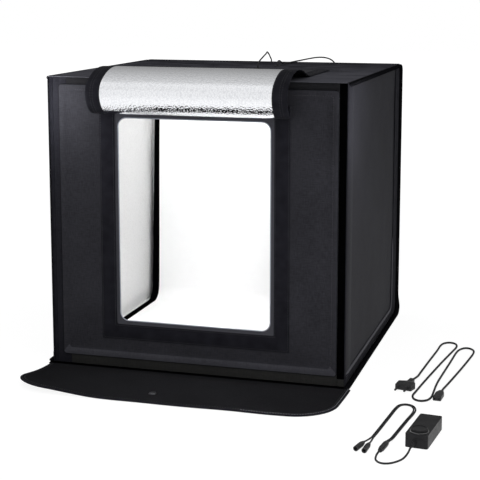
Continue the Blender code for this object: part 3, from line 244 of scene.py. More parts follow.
def drawn_out(tree, place, stretch):
    return node(tree, "VectorMath", place, stretch, operation="MULTIPLY").outputs[0]


def put_out(tree, given, out, colour, height, rougher):
    """Ends an effect with its colour, its height and how much rougher it is than was asked for."""
    roughness = calculate(tree, "ADD", given["Roughness"], rougher)
    for label, source in (("Colour", colour), ("Height", height), ("Roughness", roughness)):
        feed(tree, out[label], source)


def make_weave(name, creased=False):
    """Plain weave, Count threads to the metre, with a broad fade and fuzz. A creased one has its crease
    ridges painted pale as highlights, and grows paler towards the front."""
    tree, given, out = effect(name)
    place, count = given["Place"], given["Count"]
    scaled = node(tree, "VectorMath", place, None, None, count, operation="SCALE").outputs[0]
    waves = [calculate(tree, "SINE", times(tree, part, math.pi)) for part in parts_of(tree, scaled)[:2]]
    weave = spread(tree, times(tree, *waves), 0.5, 1.0)
    broad = speckle(tree, place, 11.0, 4.0)
    fuzz = speckle(tree, place, times(tree, count, 0.3))
    slubs = 0.0
    for stretch in ((0.25, 1.6, 1.0), (1.6, 0.25, 1.0)):
        streaks = speckle(tree, drawn_out(tree, place, stretch), times(tree, count, 0.28))
        slubs = times_plus(tree, streaks, 0.5, slubs)
    fade = times_plus(tree, broad, 0.45, times(tree, slubs, 0.95))
    if creased:
        folds = speckle(tree, drawn_out(tree, place, (0.45, 1.5, 1.0)), 16.0, 3.0)
        off_middle = calculate(tree, "ABSOLUTE", calculate(tree, "SUBTRACT", folds, 0.5))
        # Paler along the middle of each crease: painted highlight on the fold ridges.
        highlight_ridge = calculate(tree, "MAXIMUM", times_plus(tree, off_middle, -14.0, 1.0), 0.0)
        fade = times_plus(tree, highlight_ridge, 0.32, calculate(tree, "SUBTRACT", fade, 0.05))
        fade = times_plus(tree, parts_of(tree, place)[1], -1.15, fade)
    colour = mixed(tree, spread(tree, fade, -0.25, 0.95), given["Colour"], given["Second"])
    colour = mixed(tree, spread(tree, weave, 0.18, 0.0), colour, (0.0, 0.0, 0.0, 1.0))
    threads = times_plus(tree, weave, 0.6, times(tree, fuzz, 0.5))
    put_out(tree, given, out, colour, times_plus(tree, broad, 7.0, threads), spread(tree, fuzz, -0.1, 0.1))
    return tree


def make_pebbles():
    """Embossed foil, Count pebbles to the metre, creased here and there. The hollows between
    pebbles are painted darker as shade.
    """
    tree, given, out = effect("foil_pebbles")
    place = given["Place"]
    cells = node(tree, "TexVoronoi", feature="SMOOTH_F1")
    feed_all(tree, cells, {"Vector": place, "Scale": given["Count"], "Smoothness": 0.35})
    dome = spread(tree, cells.outputs["Distance"], 1.0, 0.0)
    crease = speckle(tree, place, 34.0, 3.0)
    height = times_plus(tree, speckle(tree, place, 900.0), 0.06, times_plus(tree, crease, 0.12, dome))
    # The second colour goes into the hollows between the domes: painted shade.
    colour = mixed(tree, dome, given["Second"], given["Colour"])
    put_out(tree, given, out, colour, height, spread(tree, crease, -0.05, 0.07))
    return tree


def make_grain():
    """Moulded or rubbed surface, Count grains to the metre, with a faint handling sheen."""
    tree, given, out = effect("moulded_grain")
    place = given["Place"]
    rubbed = speckle(tree, place, 45.0, 3.0)
    colour = mixed(tree, spread(tree, rubbed, -0.3, 1.0), given["Colour"], given["Second"])
    height = speckle(tree, place, given["Count"])
    put_out(tree, given, out, colour, height, spread(tree, rubbed, 0.08, -0.1))
    return tree


def full(colour):
    """Four channels from (red, green, blue), or from (red and green, blue) where those two are one."""
    return (colour[0], *colour[-2:], 1.0)


def surface(name, place, group, count, colour, second, roughness, relief, sockets):
    """A material whose group varies colour, roughness and relief; relief is its height in metres.
    The pattern lies on the flat cloth, where the place is UV, or goes through the object."""
    made = bpy.data.materials.new(name)
    made.use_nodes = True
    tree = made.node_tree
    where = node(tree, "UVMap", uv_map="Cloth") if place == "UV" else node(tree, "TexCoord")
    pattern, bump = node(tree, "Group", node_tree=group), node(tree, "Bump")
    feed_all(tree, pattern, {"Place": where.outputs[place], "Count": count, "Colour": full(colour),
                             "Second": full(second), "Roughness": roughness})
    feed_all(tree, bump, {"Strength": 1.0, "Distance": relief, "Height": pattern.outputs["Height"]})
    feed_all(tree, tree.nodes["Principled BSDF"],
             {"Base Color": pattern.outputs["Colour"], "Roughness": pattern.outputs["Roughness"],
              "Normal": bump.outputs[0], **sockets})
    return made


FINISHES = {}


def make_finishes():
    """Each row: name, group, its count, two colours, roughness, relief and other shader inputs."""
    weave, creased = make_weave("woven_threads"), make_weave("creased_cloth", creased=True)
    pebbles, grain = make_pebbles(), make_grain()
    cloth = {"Sheen Weight": 0.01, "Sheen Roughness": 0.5, "Specular IOR Level": 0.03}
    dull, moulded, metal = {"Specular IOR Level": 0.0}, {"Specular IOR Level": 0.15}, {"Metallic": 1.0}
    lit = {"Emission Color": (1.0, 0.98, 0.95, 1.0), "Emission Strength": 1.6}
    warm = {"Emission Color": (1.0, 0.95, 0.85, 1.0), "Emission Strength": 1.6}
    on_cloth = (
        ("door_cloth", weave, 1100, (0.006, 0.0074), (0.035, 0.042), 0.66, 0.00022, cloth),
        ("wall_cloth", weave, 1100, (0.003, 0.0042), (0.0185, 0.024), 0.66, 0.00022, cloth),
        ("roof_cloth", creased, 900, (0.008, 0.010), (0.074, 0.086), 0.66, 0.00025, dull),
        ("band_cloth", weave, 900, (0.012, 0.012), (0.032, 0.031), 0.70, 0.00025, dull),
        ("hem_cloth", weave, 1100, (0.020, 0.024), (0.060, 0.071), 0.64, 0.00022, cloth),
        ("apron_cloth", weave, 1500, (0.0053, 0.006), (0.0167, 0.0185), 0.60, 0.00014, dull),
        ("lip_cloth", weave, 1300, (0.040, 0.047), (0.070, 0.082), 0.55, 0.00018, cloth),
        ("loop_tape", grain, 1700, (0.007, 0.0095), (0.0165, 0.0215), 0.85, 0.0005, cloth),
        ("closure_tape", grain, 1400, (0.0004, 0.0005), (0.0012, 0.0014), 0.90, 0.0004, dull),
        ("binding", weave, 700, (0.0016, 0.002), (0.006, 0.007), 0.72, 0.0003, dull),
        ("flap_foil", pebbles, 300, (0.94, 0.95, 0.97), (0.80, 0.81, 0.84), 0.07, 0.00042, metal),
        ("wall_foil", pebbles, 300, (0.62, 0.62), (0.545, 0.545), 0.55, 0.0004, {"Metallic": 0.10}),
        ("lip_piping", weave, 900, (0.20, 0.21, 0.25), (0.34, 0.36, 0.42), 0.40, 0.0002, {"Metallic": 0.4}),
        ("backdrop_white", grain, 700, (0.94, 0.94), (0.92, 0.92), 0.70, 0.0001, {}),
    )
    through_object = (
        ("dark_thread", grain, 2500, (0.018, 0.020), (0.034, 0.038), 0.60, 0.0001, {}),
        ("black_thread", grain, 2500, (0.009, 0.010), (0.018, 0.020), 0.60, 0.0001, {}),
        ("pale_thread", grain, 2500, (0.08, 0.09), (0.16, 0.18), 0.55, 0.0001, {}),
        ("dial_ring", grain, 1500, (0.20, 0.20), (0.32, 0.32), 0.40, 0.00004, {}),
        ("snap_metal", grain, 1500, (0.06, 0.065), (0.13, 0.14), 0.35, 0.00004, metal),
        ("bar_metal", grain, 2200, (0.60, 0.61, 0.62), (0.70, 0.71, 0.72), 0.38, 0.00004, metal),
        ("rubber", grain, 1800, (0.012, 0.013), (0.022, 0.023), 0.62, 0.00008, moulded),
        ("cord_jacket", grain, 1600, (0.012, 0.013), (0.022, 0.023), 0.50, 0.00006, moulded),
        ("adapter_plastic", grain, 1300, (0.008, 0.009), (0.015, 0.016), 0.44, 0.00009, moulded),
        ("knob_plastic", grain, 1800, (0.010, 0.011), (0.020, 0.021), 0.36, 0.00005, moulded),
        ("plug_plastic", grain, 1500, (0.017, 0.018), (0.028, 0.029), 0.44, 0.00008, moulded),
        ("diffuser", grain, 900, (0.90, 0.88), (0.86, 0.84), 0.45, 0.00005, lit),
        ("light_strip", grain, 1100, (0.88, 0.84, 0.60), (0.92, 0.90, 0.82), 0.50, 0.0001, warm),
    )
    for place, rows in (("UV", on_cloth), ("Object", through_object)):
        for name, *values in rows:
            FINISHES[name] = surface(name, place, *values)


# Ways of making pieces


def smooth_step(value):
    value = max(0.0, min(1.0, value))
    return value * value * (3.0 - 2.0 * value)


def piece_from(bm, name, *finishes):
    data = bpy.data.meshes.new(name)
    bm.to_mesh(data)
    bm.free()
    for finish in finishes:
        data.materials.append(FINISHES[finish])
    piece = add_object(name, data)
    shade(piece)
    return piece


SHARP_ANGLE = math.radians(38.0)


def shade(piece):
    piece.data.shade_smooth()
    piece.data.set_sharp_from_angle(angle=SHARP_ANGLE)


def closed_piece(bm, name, *finishes):
    """A piece with all its faces turned outward."""
    bmesh.ops.recalc_face_normals(bm, faces=bm.faces)
    return piece_from(bm, name, *finishes)


def settle(piece):
    """Applies a piece's modifiers."""
    graph = bpy.context.evaluated_depsgraph_get()
    shaped = piece.evaluated_get(graph)
    data = bpy.data.meshes.new_from_object(shaped, preserve_all_data_layers=True, depsgraph=graph)
    piece.modifiers.clear()
    piece.data = data
    shade(piece)
    return piece


def thicken(piece, thickness, back=0, rim=0):
    """Grows a sheet to its thickness, backwards. back and rim are added to the material slots there."""
    wall = piece.modifiers.new("thickness", "SOLIDIFY")
    wall.thickness = thickness
    wall.offset = -1.0
    wall.material_offset = back
    wall.material_offset_rim = rim
    return settle(piece)


def new_verts(result):
    return [item for item in result["geom"] if isinstance(item, bmesh.types.BMVert)]


def grow(bm, edges):
    """Extrudes a row of edges and gives its new vertices, edges and faces."""
    result = bmesh.ops.extrude_edge_only(bm, edges=edges)
    verts = new_verts(result)
    inside = set(verts)
    fresh = [e for e in result["geom"] if isinstance(e, bmesh.types.BMEdge) and inside.issuperset(e.verts)]
    faces = [f for f in result["geom"] if isinstance(f, bmesh.types.BMFace)]
    return verts, fresh, faces


def outline_start(bm, points):
    """A closed row of edges through these points."""
    verts = [bm.verts.new(point) for point in points]
    return [bm.edges.new(pair) for pair in zip(verts, verts[1:] + verts[:1])]


def dimple(a, b, size):
    """How far a stretched cloth gives at (a, b): 0 to 1, in folds of about this size."""
    return 0.5 + 0.5 * noise.noise(Vector((a / size, b / size, 0.37)))


def lay_cloth(bm, flat):
    """Gives each corner of each face its place on the flat cloth: flat(position), in metres."""
    sheet = bm.loops.layers.uv.new("Cloth")
    for face in bm.faces:
        for loop in face.loops:
            loop[sheet].uv = flat(loop.vert.co)


def stretched_panel(name, middle, across, up, finish, thickness, give=0.0, cells=28, spare=()):
    """A sheet held along its four edges. across and up are its whole sides, and it gives way inwards,
    except within reach of the places in spare."""
    middle, across, up = Vector(middle), Vector(across), Vector(up)
    width, height = across.length, up.length
    inwards = -across.cross(up).normalized()
    bm = bmesh.new()
    bmesh.ops.create_grid(bm, x_segments=cells, y_segments=cells, size=0.5)
    lay_cloth(bm, lambda spot: (spot.x * width, spot.y * height))
    for vert in bm.verts:
        u, v = vert.co.x, vert.co.y
        held = smooth_step(min((0.5 - abs(u)) * width, (0.5 - abs(v)) * height) / 0.07)
        place = middle + across * u + up * v
        for spot, reach in spare:
            held *= smooth_step(((place - Vector(spot)).length - reach) / reach)
        vert.co = place + inwards * give * held * dimple(u * width, v * height, 0.16)
    return thicken(piece_from(bm, name, finish), thickness)


def flat_band(name, outline, place, finish, thickness, edge=0.0004):
    """A flat strip of tape or cloth: its outline, put in place by a function of (u, v, height)."""
    bm = bmesh.new()
    edges = outline_start(bm, [(u, v, 0.0) for u, v in outline])
    face = bmesh.ops.contextual_create(bm, geom=edges)["faces"][0]
    if face.normal.z < 0:
        face.normal_flip()
    raised = new_verts(bmesh.ops.extrude_face_region(bm, geom=[face]))
    bmesh.ops.translate(bm, verts=raised, vec=(0.0, 0.0, thickness))
    rim = [e for e in bm.edges if all(v in raised for v in e.verts)]
    bmesh.ops.bevel(bm, geom=rim, offset=edge, affect="EDGES", segments=2, profile=0.5, material=-1)
    bmesh.ops.recalc_face_normals(bm, faces=bm.faces)
    lay_cloth(bm, lambda spot: spot.xy)
    for vert in bm.verts:
        vert.co = place(*vert.co)
    return closed_piece(bm, name, finish)


def rounded_loop(left, low, right, high, radius, per_side=9, per_corner=6):
    """Points round a rectangle with round corners: always as many, in the same order."""
    points = []
    corners = ((right, low, 1, -1), (right, high, 1, 1), (left, high, -1, 1), (left, low, -1, -1))
    for quarter, (x, z, side, rise) in enumerate(corners):
        for step in range(per_corner + 1):
            turn = math.radians(90 * (quarter - 1 + step / per_corner))
            points.append((x - side * radius + radius * math.cos(turn),
                           z - rise * radius + radius * math.sin(turn)))
    filled = []
    for index, (a, b) in enumerate(zip(points, points[1:] + points[:1])):
        steps = per_side if index % (per_corner + 1) == per_corner else 1
        for step in range(steps):
            filled += between([a], [b], step / steps)
    return filled


def rectangle(left, low, right, high):
    return [(left, low), (right, low), (right, high), (left, high)]


def upright_at(y):
    """Puts a flat strip upright, with its back at this y and its face to the front."""
    return lambda u, v, height: Vector((u, y - height, v))


def ring_sheet(name, loops, finishes, thickness, give=None, back=0, rim=0):
    """A sheet with a hole: loops are (points, y, slot) from the hole to the rim. It faces -Y."""
    bm = bmesh.new()
    order = bm.verts.layers.int.new("order")
    points, y, _ = loops[0]
    edges = outline_start(bm, [(x, y, z) for x, z in points])
    for number, vert in enumerate(bm.verts):
        vert[order] = number
    for points, y, slot in loops[1:]:
        verts, edges, faces = grow(bm, edges)
        for vert in verts:
            x, z = points[vert[order]]
            vert.co = (x, y, z)
        for face in faces:
            face.material_index = slot
    bm.normal_update()
    if sum(face.normal.y for face in bm.faces) > 0:
        bmesh.ops.reverse_faces(bm, faces=bm.faces)
    lay_cloth(bm, lambda spot: spot.xz)
    if give:
        for vert in bm.verts:
            vert.co.y += give(vert.co.x, vert.co.z)
    return thicken(piece_from(bm, name, *finishes), thickness, back=back, rim=rim)


def between(first, second, share):
    return [(a + (c - a) * share, b + (d - b) * share) for (a, b), (c, d) in zip(first, second)]


def lengths_along(points):
    """How far along a path each of its points lies."""
    lengths = [0.0]
    for a, b in zip(points, points[1:]):
        lengths.append(lengths[-1] + (Vector(b) - Vector(a)).length)
    return lengths


def spot_at(points, lengths, target):
    """The point this far along a path, and the path's direction there."""
    index = min(bisect.bisect_left(lengths, target, 1), len(points) - 1) - 1
    start = Vector(points[index])
    along = (Vector(points[index + 1]) - start).normalized()
    return start + along * (target - lengths[index]), along


def swept(bm, section, stations, choose=None, closed=False, along_start=0.0):
    """Sweeps a closed section of (u, v) points through stations, matrices whose x and y carry it.
    choose(u, v) gives the material slot of a face."""
    sheet = bm.loops.layers.uv.new("Cloth")
    round_it = lengths_along(section + section[:1])
    edges = first_edges = outline_start(bm, [(u, v, 0.0) for u, v in section])
    bmesh.ops.transform(bm, matrix=stations[0], verts=bm.verts)
    length = along_start
    for before, after in zip(stations, stations[1:]):
        fresh, edges, faces = grow(bm, edges)
        bmesh.ops.transform(bm, matrix=after @ before.inverted(), verts=fresh)
        run = (after.translation - before.translation).length
        to_section, ahead = (before.inverted(), after.inverted()), set(fresh)
        for face in faces:
            places = []
            for loop in face.loops:
                is_ahead = loop.vert in ahead
                place = (to_section[is_ahead] @ loop.vert.co).xy
                places.append(place)
                around = place.x
                if not choose:
                    gaps = [math.dist(spot, place) for spot in section]
                    around = round_it[gaps.index(min(gaps))]
                loop[sheet].uv = (around, length + run * is_ahead)
            if choose:
                face.material_index = choose(*(sum(places, Vector((0.0, 0.0))) / len(places)))
        length += run
    if closed:
        bmesh.ops.remove_doubles(bm, verts=bm.verts, dist=0.00002)
    else:
        for row in (first_edges, edges):
            bmesh.ops.contextual_create(bm, geom=row)


def circle(radius, steps=10, flatten=1.0):
    turns = [2 * math.pi * step / steps for step in range(steps)]
    return [(radius * math.cos(turn), radius * flatten * math.sin(turn)) for turn in turns]


def stations_along(points, upward, closed=False):
    """A matrix at each point of a path: z runs along it, and y stays as near upward as it can."""
    count, made = len(points), []
    for index, point in enumerate(points):
        if closed:
            before, after = points[(index - 1) % count], points[(index + 1) % count]
        else:
            before, after = points[max(index - 1, 0)], points[min(index + 1, count - 1)]
        along = (Vector(after) - Vector(before)).normalized()
        up = (Vector(upward) - along * along.dot(Vector(upward))).normalized()
        side = up.cross(along)
        made.append(Matrix.Translation(point) @ Matrix((side, up, along)).transposed().to_4x4())
    if closed:
        made.append(made[0])
    return made


def rolled_edge(name, points, radius, finish, upward=(1, 0, 0), flatten=1.0, closed=False, taper=0.0,
                lean=(0, 0, 0)):
    """A round roll of cloth along a path. Over the length taper at each end it thins and leans over."""
    stations = stations_along(points, upward, closed)
    if taper:
        walked = lengths_along(points)
        for index, so_far in enumerate(walked):
            size = 0.25 + 0.75 * smooth_step(min(so_far, walked[-1] - so_far) / taper)
            shift = Matrix.Translation(Vector(lean) * radius * (1 - size))
            stations[index] = shift @ stations[index] @ Matrix.Diagonal((size, size, 1, 1))
    bm = bmesh.new()
    swept(bm, circle(radius, 12, flatten), stations, closed=closed)
    return closed_piece(bm, name, finish)


STITCH_PITCH = 0.0050


def sew(bm, points, outward, slot=0, length=0.0034, width=0.0007):
    """Stitches along a path: grains of thread that stand a little out of the cloth."""
    lengths = lengths_along(points)
    count = max(1, int(lengths[-1] / STITCH_PITCH))
    size = Matrix.Diagonal((length, width, width * 0.8, 1.0))
    for number in range(count):
        spot, along = spot_at(points, lengths, (number + 0.5) * lengths[-1] / count)
        up = Vector(outward(spot) if callable(outward) else outward)
        up = (up - along * up.dot(along)).normalized()
        turn = Matrix((along, up.cross(along), up)).transposed().to_4x4()
        place = Matrix.Translation(spot) @ turn @ size
        made = bmesh.ops.create_icosphere(bm, subdivisions=1, radius=0.5, matrix=place)
        for face in {face for vert in made["verts"] for face in vert.link_faces}:
            face.material_index = slot


def stitch_rows(name, outward, rows, finish="dark_thread", **sizes):
    """One piece of thread for several rows of points."""
    bm = bmesh.new()
    for points in rows:
        sew(bm, points, outward, **sizes)
    return piece_from(bm, name, finish)


def straight(start, end, steps=2):
    return [Vector(start).lerp(Vector(end), step / (steps - 1)) for step in range(steps)]


def rounded_path(corners, radii, steps=8):
    """Straight runs through corners, each inner corner rounded to its radius."""
    points = [Vector(corners[0])]
    for before, corner, after, radius in zip(corners, corners[1:], corners[2:], radii):
        corner = Vector(corner)
        into = (corner - Vector(before)).normalized()
        out = (Vector(after) - corner).normalized()
        turn = into.angle(out)
        start = corner - into * radius * math.tan(turn / 2)
        centre = start + (out - into * into.dot(out)).normalized() * radius
        for step in range(steps + 1):
            angle = turn * step / steps
            points.append(centre + (start - centre) * math.cos(angle) + into * radius * math.sin(angle))
    points.append(Vector(corners[-1]))
    return points


def close_up(points, spacing):
    """The same path with points no further apart than spacing."""
    filled = []
    for a, b in zip(points, points[1:]):
        steps = max(1, math.ceil((b - a).length / spacing))
        filled += [a.lerp(b, step / steps) for step in range(steps)]
    return filled + [points[-1]]


def rides(body, slot, *pieces, replaces=()):
    for piece in pieces:
        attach(piece, body)
    if replaces:
        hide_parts(*replaces)


# Cords


def smooth_route(route):
    """Dense points on the smooth curve through a route's own points."""
    knots = [Vector(point) for point in route]
    knots = [2 * knots[0] - knots[1]] + knots + [2 * knots[-1] - knots[-2]]
    dense = []
    for a, b, c, d in zip(knots, knots[1:], knots[2:], knots[3:]):
        for step in range(ROUTE_STEPS):
            t = step / ROUTE_STEPS
            bend = (2 * a - 5 * b + 4 * c - d) * t**2 + (3 * b - a - 3 * c + d) * t**3
            dense.append((2 * b + (c - a) * t + bend) / 2)
    dense.append(knots[-2])
    return dense


def pair_side(route, sign):
    """The route of one lead of a pair that lies side by side."""
    shifted = []
    for index, point in enumerate(route):
        before = Vector(route[max(index - 1, 0)])
        after = Vector(route[min(index + 1, len(route) - 1)])
        along = (after - before).normalized()
        across = Vector((-along.y, along.x, 0.0)).normalized()
        shifted.append(tuple(Vector(point) + across * sign * SPLIT_SPREAD))
    return shifted


def cord(name, route, diameter):
    curve = bpy.data.curves.new(name, "CURVE")
    curve.dimensions = "3D"
    curve.bevel_depth = diameter / 2
    curve.bevel_resolution = 3
    curve.use_fill_caps = True
    points = smooth_route(route)
    spline = curve.splines.new("POLY")
    spline.points.add(len(points) - 1)
    for point, place in zip(spline.points, points):
        point.co = (*place, 1.0)
    curve.materials.append(FINISHES["cord_jacket"])
    return add_object(name, curve)


def middle_of(name):
    low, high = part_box(name)
    return (low + high) / 2


def make_cords():
    """Each row: name, solid, route, length, diameter, far end, stiffness, lay and pieces at its ends."""
    leads = [
        ("front_lamp_cord", "front_bar_lead", FRONT_LEAD_ROUTE, 0.835, 0.0033, "connector", "medium",
         "hanging", ("front_lead_socket",)),
        ("rear_lamp_cord", "rear_bar_lead", REAR_LEAD_ROUTE, 0.825, 0.0033, "connector", "medium",
         "hanging", ("rear_lead_socket",)),
        ("mains_cord", "mains_lead", MAINS_ROUTE[::-1], 1.460, 0.0044, "plug", "medium",
         "loose", ("mains_plug", "mains_connector")),
        ("supply_cord", "dc_lead", DC_ROUTE, 0.143, 0.0036, "connector", "limp",
         "loose", ("inline_connector",)),
    ]
    for side, sign, length in (("left", -1, 0.465), ("right", 1, 0.457)):
        route = pair_side(PAIR_ROUTE, sign) + list(SPLIT_ENDS[side])
        leads.append((f"split_cord_{side}", f"splitter_lead_{side}", route, length, 0.0032, "connector",
                      "limp", "loose", (f"splitter_socket_{side}",)))
    for name, solid, route, length, diameter, far_end, stiffness, lay, ends in leads:
        piece = cord(name, route, diameter)
        rides(TENT, "cord_jacket", piece, replaces=(solid,))


# Tent shell


FOOT_ENDS = {"left": -0.306, "right": -0.317}
PIPING_ENDS = {"left": -0.286, "right": -0.300}
PIPING_TOP = 0.20
LAP_WIDTH = 0.050
LAP_FOOT = 0.015
LAP_THICKNESS = 0.0013
FRONT_BAND_THICKNESS = 0.0006


def make_side(side, sign):
    """One side wall: cloth, foil, front band, lap band, rolled edge and its seams."""
    wall = stretched_panel(f"{side}_wall_fabric", (sign * HALF_WIDTH, 0, HEIGHT / 2),
                           (0, sign * 2 * HALF_DEPTH, 0), (0, 0, HEIGHT), "wall_cloth", CLOTH, give=0.0022)
    low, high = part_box(f"{side}_wall_liner")
    size, middle = high - low, (low + high) / 2
    foil = stretched_panel(f"{side}_foil_lining", (sign * INNER_X, middle.y, middle.z),
                           (0, sign * size.y, 0), (0, 0, size.z), "wall_foil", LINER, give=0.0026)
    rides(TENT, "black_cloth", wall, replaces=(f"{side}_wall_cloth",))
    rides(TENT, "silver_foil", foil, replaces=(f"{side}_wall_liner",))

    def on_side(u, v, height):
        return Vector((sign * (HALF_WIDTH + FIT + height), u, v))

    reach = BINDING_RADIUS + FIT
    front, rear, bottom, top = -HALF_DEPTH + 0.001, HALF_DEPTH - 2 * reach, 2 * reach, HEIGHT - 2 * reach
    foot, lap_front = bottom + LAP_FOOT, rear - LAP_WIDTH
    outer = rounded_path([(front, bottom), (rear, bottom), (rear, top), (lap_front, top)],
                         (BINDING_LOWER_BEND - reach, BINDING_UPPER_BEND - reach), 6)
    inner = rounded_path([(lap_front, top), (lap_front, foot), (front, foot)], (0.022,), 6)
    lap = flat_band(f"{side}_lap_tape", outer + inner[1:], on_side, "loop_tape", LAP_THICKNESS)
    strip = rectangle(front, foot + FIT, front + LAP_WIDTH, top)
    front_band = flat_band(f"{side}_front_band", strip, on_side, "wall_cloth", FRONT_BAND_THICKNESS, 0.0002)
    x = sign * (HALF_WIDTH + reach)
    low_z, high_z, back = reach, HEIGHT - BINDING_RADIUS, HALF_DEPTH - BINDING_RADIUS
    corners = [(x, FOOT_ENDS[side], low_z), (x, back, low_z), (x, back, high_z), (x, -back, high_z)]
    path = rounded_path(corners, (BINDING_LOWER_BEND, BINDING_UPPER_BEND), 8)
    edge = rolled_edge(f"{side}_rolled_edge", close_up(path, 0.008), BINDING_RADIUS, "binding",
                       taper=0.010, lean=(-sign, 0, 0))
    for vert in edge.data.vertices:
        low_share = 1.0 - smooth_step((vert.co.z - 0.012) / 0.04)
        vert.co.x += sign * 0.5 * low_share * (abs(vert.co.x) - HALF_WIDTH)
    # A flattened roll along the lap band's inner edge, in paler cloth: painted highlight along that ridge.
    highlight_ridge = close_up([on_side(spot.x - 0.0030, spot.y + 0.0030, 0.0007) for spot in inner], 0.01)
    highlight_ridge = [spot for spot in highlight_ridge if spot.z < PIPING_TOP and spot.y > PIPING_ENDS[side]]
    out = (sign, 0, 0)
    piping = rolled_edge(f"{side}_lap_piping", highlight_ridge, 0.0034, "lip_cloth", upward=out, flatten=0.4,
                         taper=0.02)
    runs = (
        ((lap_front + 0.002, foot + 0.024), (lap_front + 0.002, top - 0.004), LAP_THICKNESS),
        ((front + 0.004, foot - 0.002), (lap_front - 0.020, foot - 0.002), LAP_THICKNESS),
        ((front + 0.0485, foot + 0.008), (front + 0.0485, top - 0.004), FRONT_BAND_THICKNESS),
    )
    rows = [straight(on_side(*start, lift), on_side(*end, lift)) for start, end, lift in runs]
    thread = stitch_rows(f"{side}_wall_stitches", out, rows)
    rides(TENT, "black_tape", lap, replaces=(f"{side}_lap_band",))
    rides(TENT, "black_tape", edge, replaces=(f"{side}_edge_binding",))
    rides(TENT, "black_cloth", front_band, thread, piping)


def punch(piece, places, radius):
    """Cuts round holes straight down through a piece."""
    for number, place in enumerate(places):
        bm = bmesh.new()
        bmesh.ops.create_cone(bm, cap_ends=True, segments=24, radius1=radius, radius2=radius, depth=0.03,
                              matrix=Matrix.Translation(place))
        cutter = piece_from(bm, f"{piece.name}_cutter_{number}", "rubber")
        cut = piece.modifiers.new("hole", "BOOLEAN")
        cut.operation = "DIFFERENCE"
        cut.object = cutter
        settle(piece)
        bpy.data.objects.remove(cutter, do_unlink=True)


GROMMET_HOLE = 0.0047


def make_shell():
    """Roof, rear wall and floor, each cloth outside and foil inside."""
    grommets = [middle_of(name) for name in ("front_roof_grommet", "rear_roof_grommet")]
    spare = [(Vector((place.x, place.y, HEIGHT)), 0.02) for place in grommets]
    width = 2 * INNER_X
    roof_low, roof_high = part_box("roof_liner")
    rear_low, rear_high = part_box("rear_wall_liner")
    floor_low, floor_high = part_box("floor_cloth")
    foil_low, foil_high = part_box("floor_liner")
    rows = (
        ("roof_fabric", "roof_cloth", (0, 0, HEIGHT), (width, 0, 0), (0, 2 * HALF_DEPTH, 0),
         "roof_cloth", {"give": 0.0016, "cells": 40, "spare": spare}),
        ("roof_foil_lining", "roof_liner", (0, (roof_low.y + roof_high.y) / 2, roof_low.z),
         (width, 0, 0), (0, roof_low.y - roof_high.y, 0), "wall_foil", {"cells": 24}),
        ("rear_wall_fabric", "rear_wall_cloth", (0, HALF_DEPTH, (FIT + HEIGHT) / 2),
         (-width, 0, 0), (0, 0, HEIGHT - 0.003), "wall_cloth", {"give": 0.0012}),
        ("rear_foil_lining", "rear_wall_liner", (0, rear_low.y, (rear_low.z + rear_high.z) / 2),
         (width, 0, 0), (0, 0, rear_high.z - rear_low.z), "wall_foil", {"cells": 24}),
        ("floor_fabric", "floor_cloth", (0, (floor_low.y + floor_high.y) / 2, CLOTH),
         (width, 0, 0), (0, floor_high.y - floor_low.y, 0), "band_cloth", {}),
        ("floor_foil_lining", "floor_liner", (0, (foil_low.y + foil_high.y) / 2, foil_high.z),
         (foil_high.x - foil_low.x, 0, 0), (0, foil_high.y - foil_low.y, 0), "wall_foil", {}),
    )
    for name, solid, middle, across, up, finish, options in rows:
        slot, thickness = ("silver_foil", LINER) if finish == "wall_foil" else ("black_cloth", CLOTH)
        piece = stretched_panel(name, middle, across, up, finish, thickness, **options)
        if name.startswith("roof"):
            punch(piece, grommets, GROMMET_HOLE)
        rides(TENT, slot, piece, replaces=(solid,))


CLOSURE_LEFT = 0.2935
CLOSURE_FOOT = 0.017
HINGE_EDGE = -0.3005
DOOR_GAP = {"left": -0.2705, "foot": 0.038, "right": 0.2775, "top": 0.569}


def make_front_bands():
    """The fixed bands that the door closes onto: left, right, top and bottom."""
    low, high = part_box("front_surround")
    left, foot, right, top = DOOR_GAP["left"], DOOR_GAP["foot"], DOOR_GAP["right"], DOOR_GAP["top"]
    strips = {
        "left_front_strip": (low.x, low.z, HINGE_EDGE - FIT, high.z, "loop_tape"),
        "hinge_fold": (HINGE_EDGE, low.z, left, high.z, "wall_cloth"),
        "right_front_strip": (right, foot + FIT, CLOSURE_LEFT - FIT, top, "band_cloth"),
        "closure_strip": (CLOSURE_LEFT, CLOSURE_FOOT + FIT, high.x, high.z, "closure_tape"),
        "closure_foot": (CLOSURE_LEFT, low.z, high.x, CLOSURE_FOOT, "band_cloth"),
        "top_front_strip": (left + FIT, top + FIT, CLOSURE_LEFT - FIT, high.z, "apron_cloth"),
        "foot_front_strip": (left + FIT, low.z, CLOSURE_LEFT - FIT, foot, "band_cloth"),
    }
    pieces = {name: flat_band(name, rectangle(*sides), upright_at(high.y), finish, high.y - low.y)
              for name, (*sides, finish) in strips.items()}
    rides(TENT, "black_cloth", *pieces.values(), replaces=("front_surround",))


# Door


DOOR_BODY = "door"
OUT_OF_DOOR = (0, -1, 0)
HEM_WIDTH = 0.0145
HEM_RISE = 0.0004
HEM_STITCH_INSET = 0.0112
HINGE_CLEARANCE = 0.035


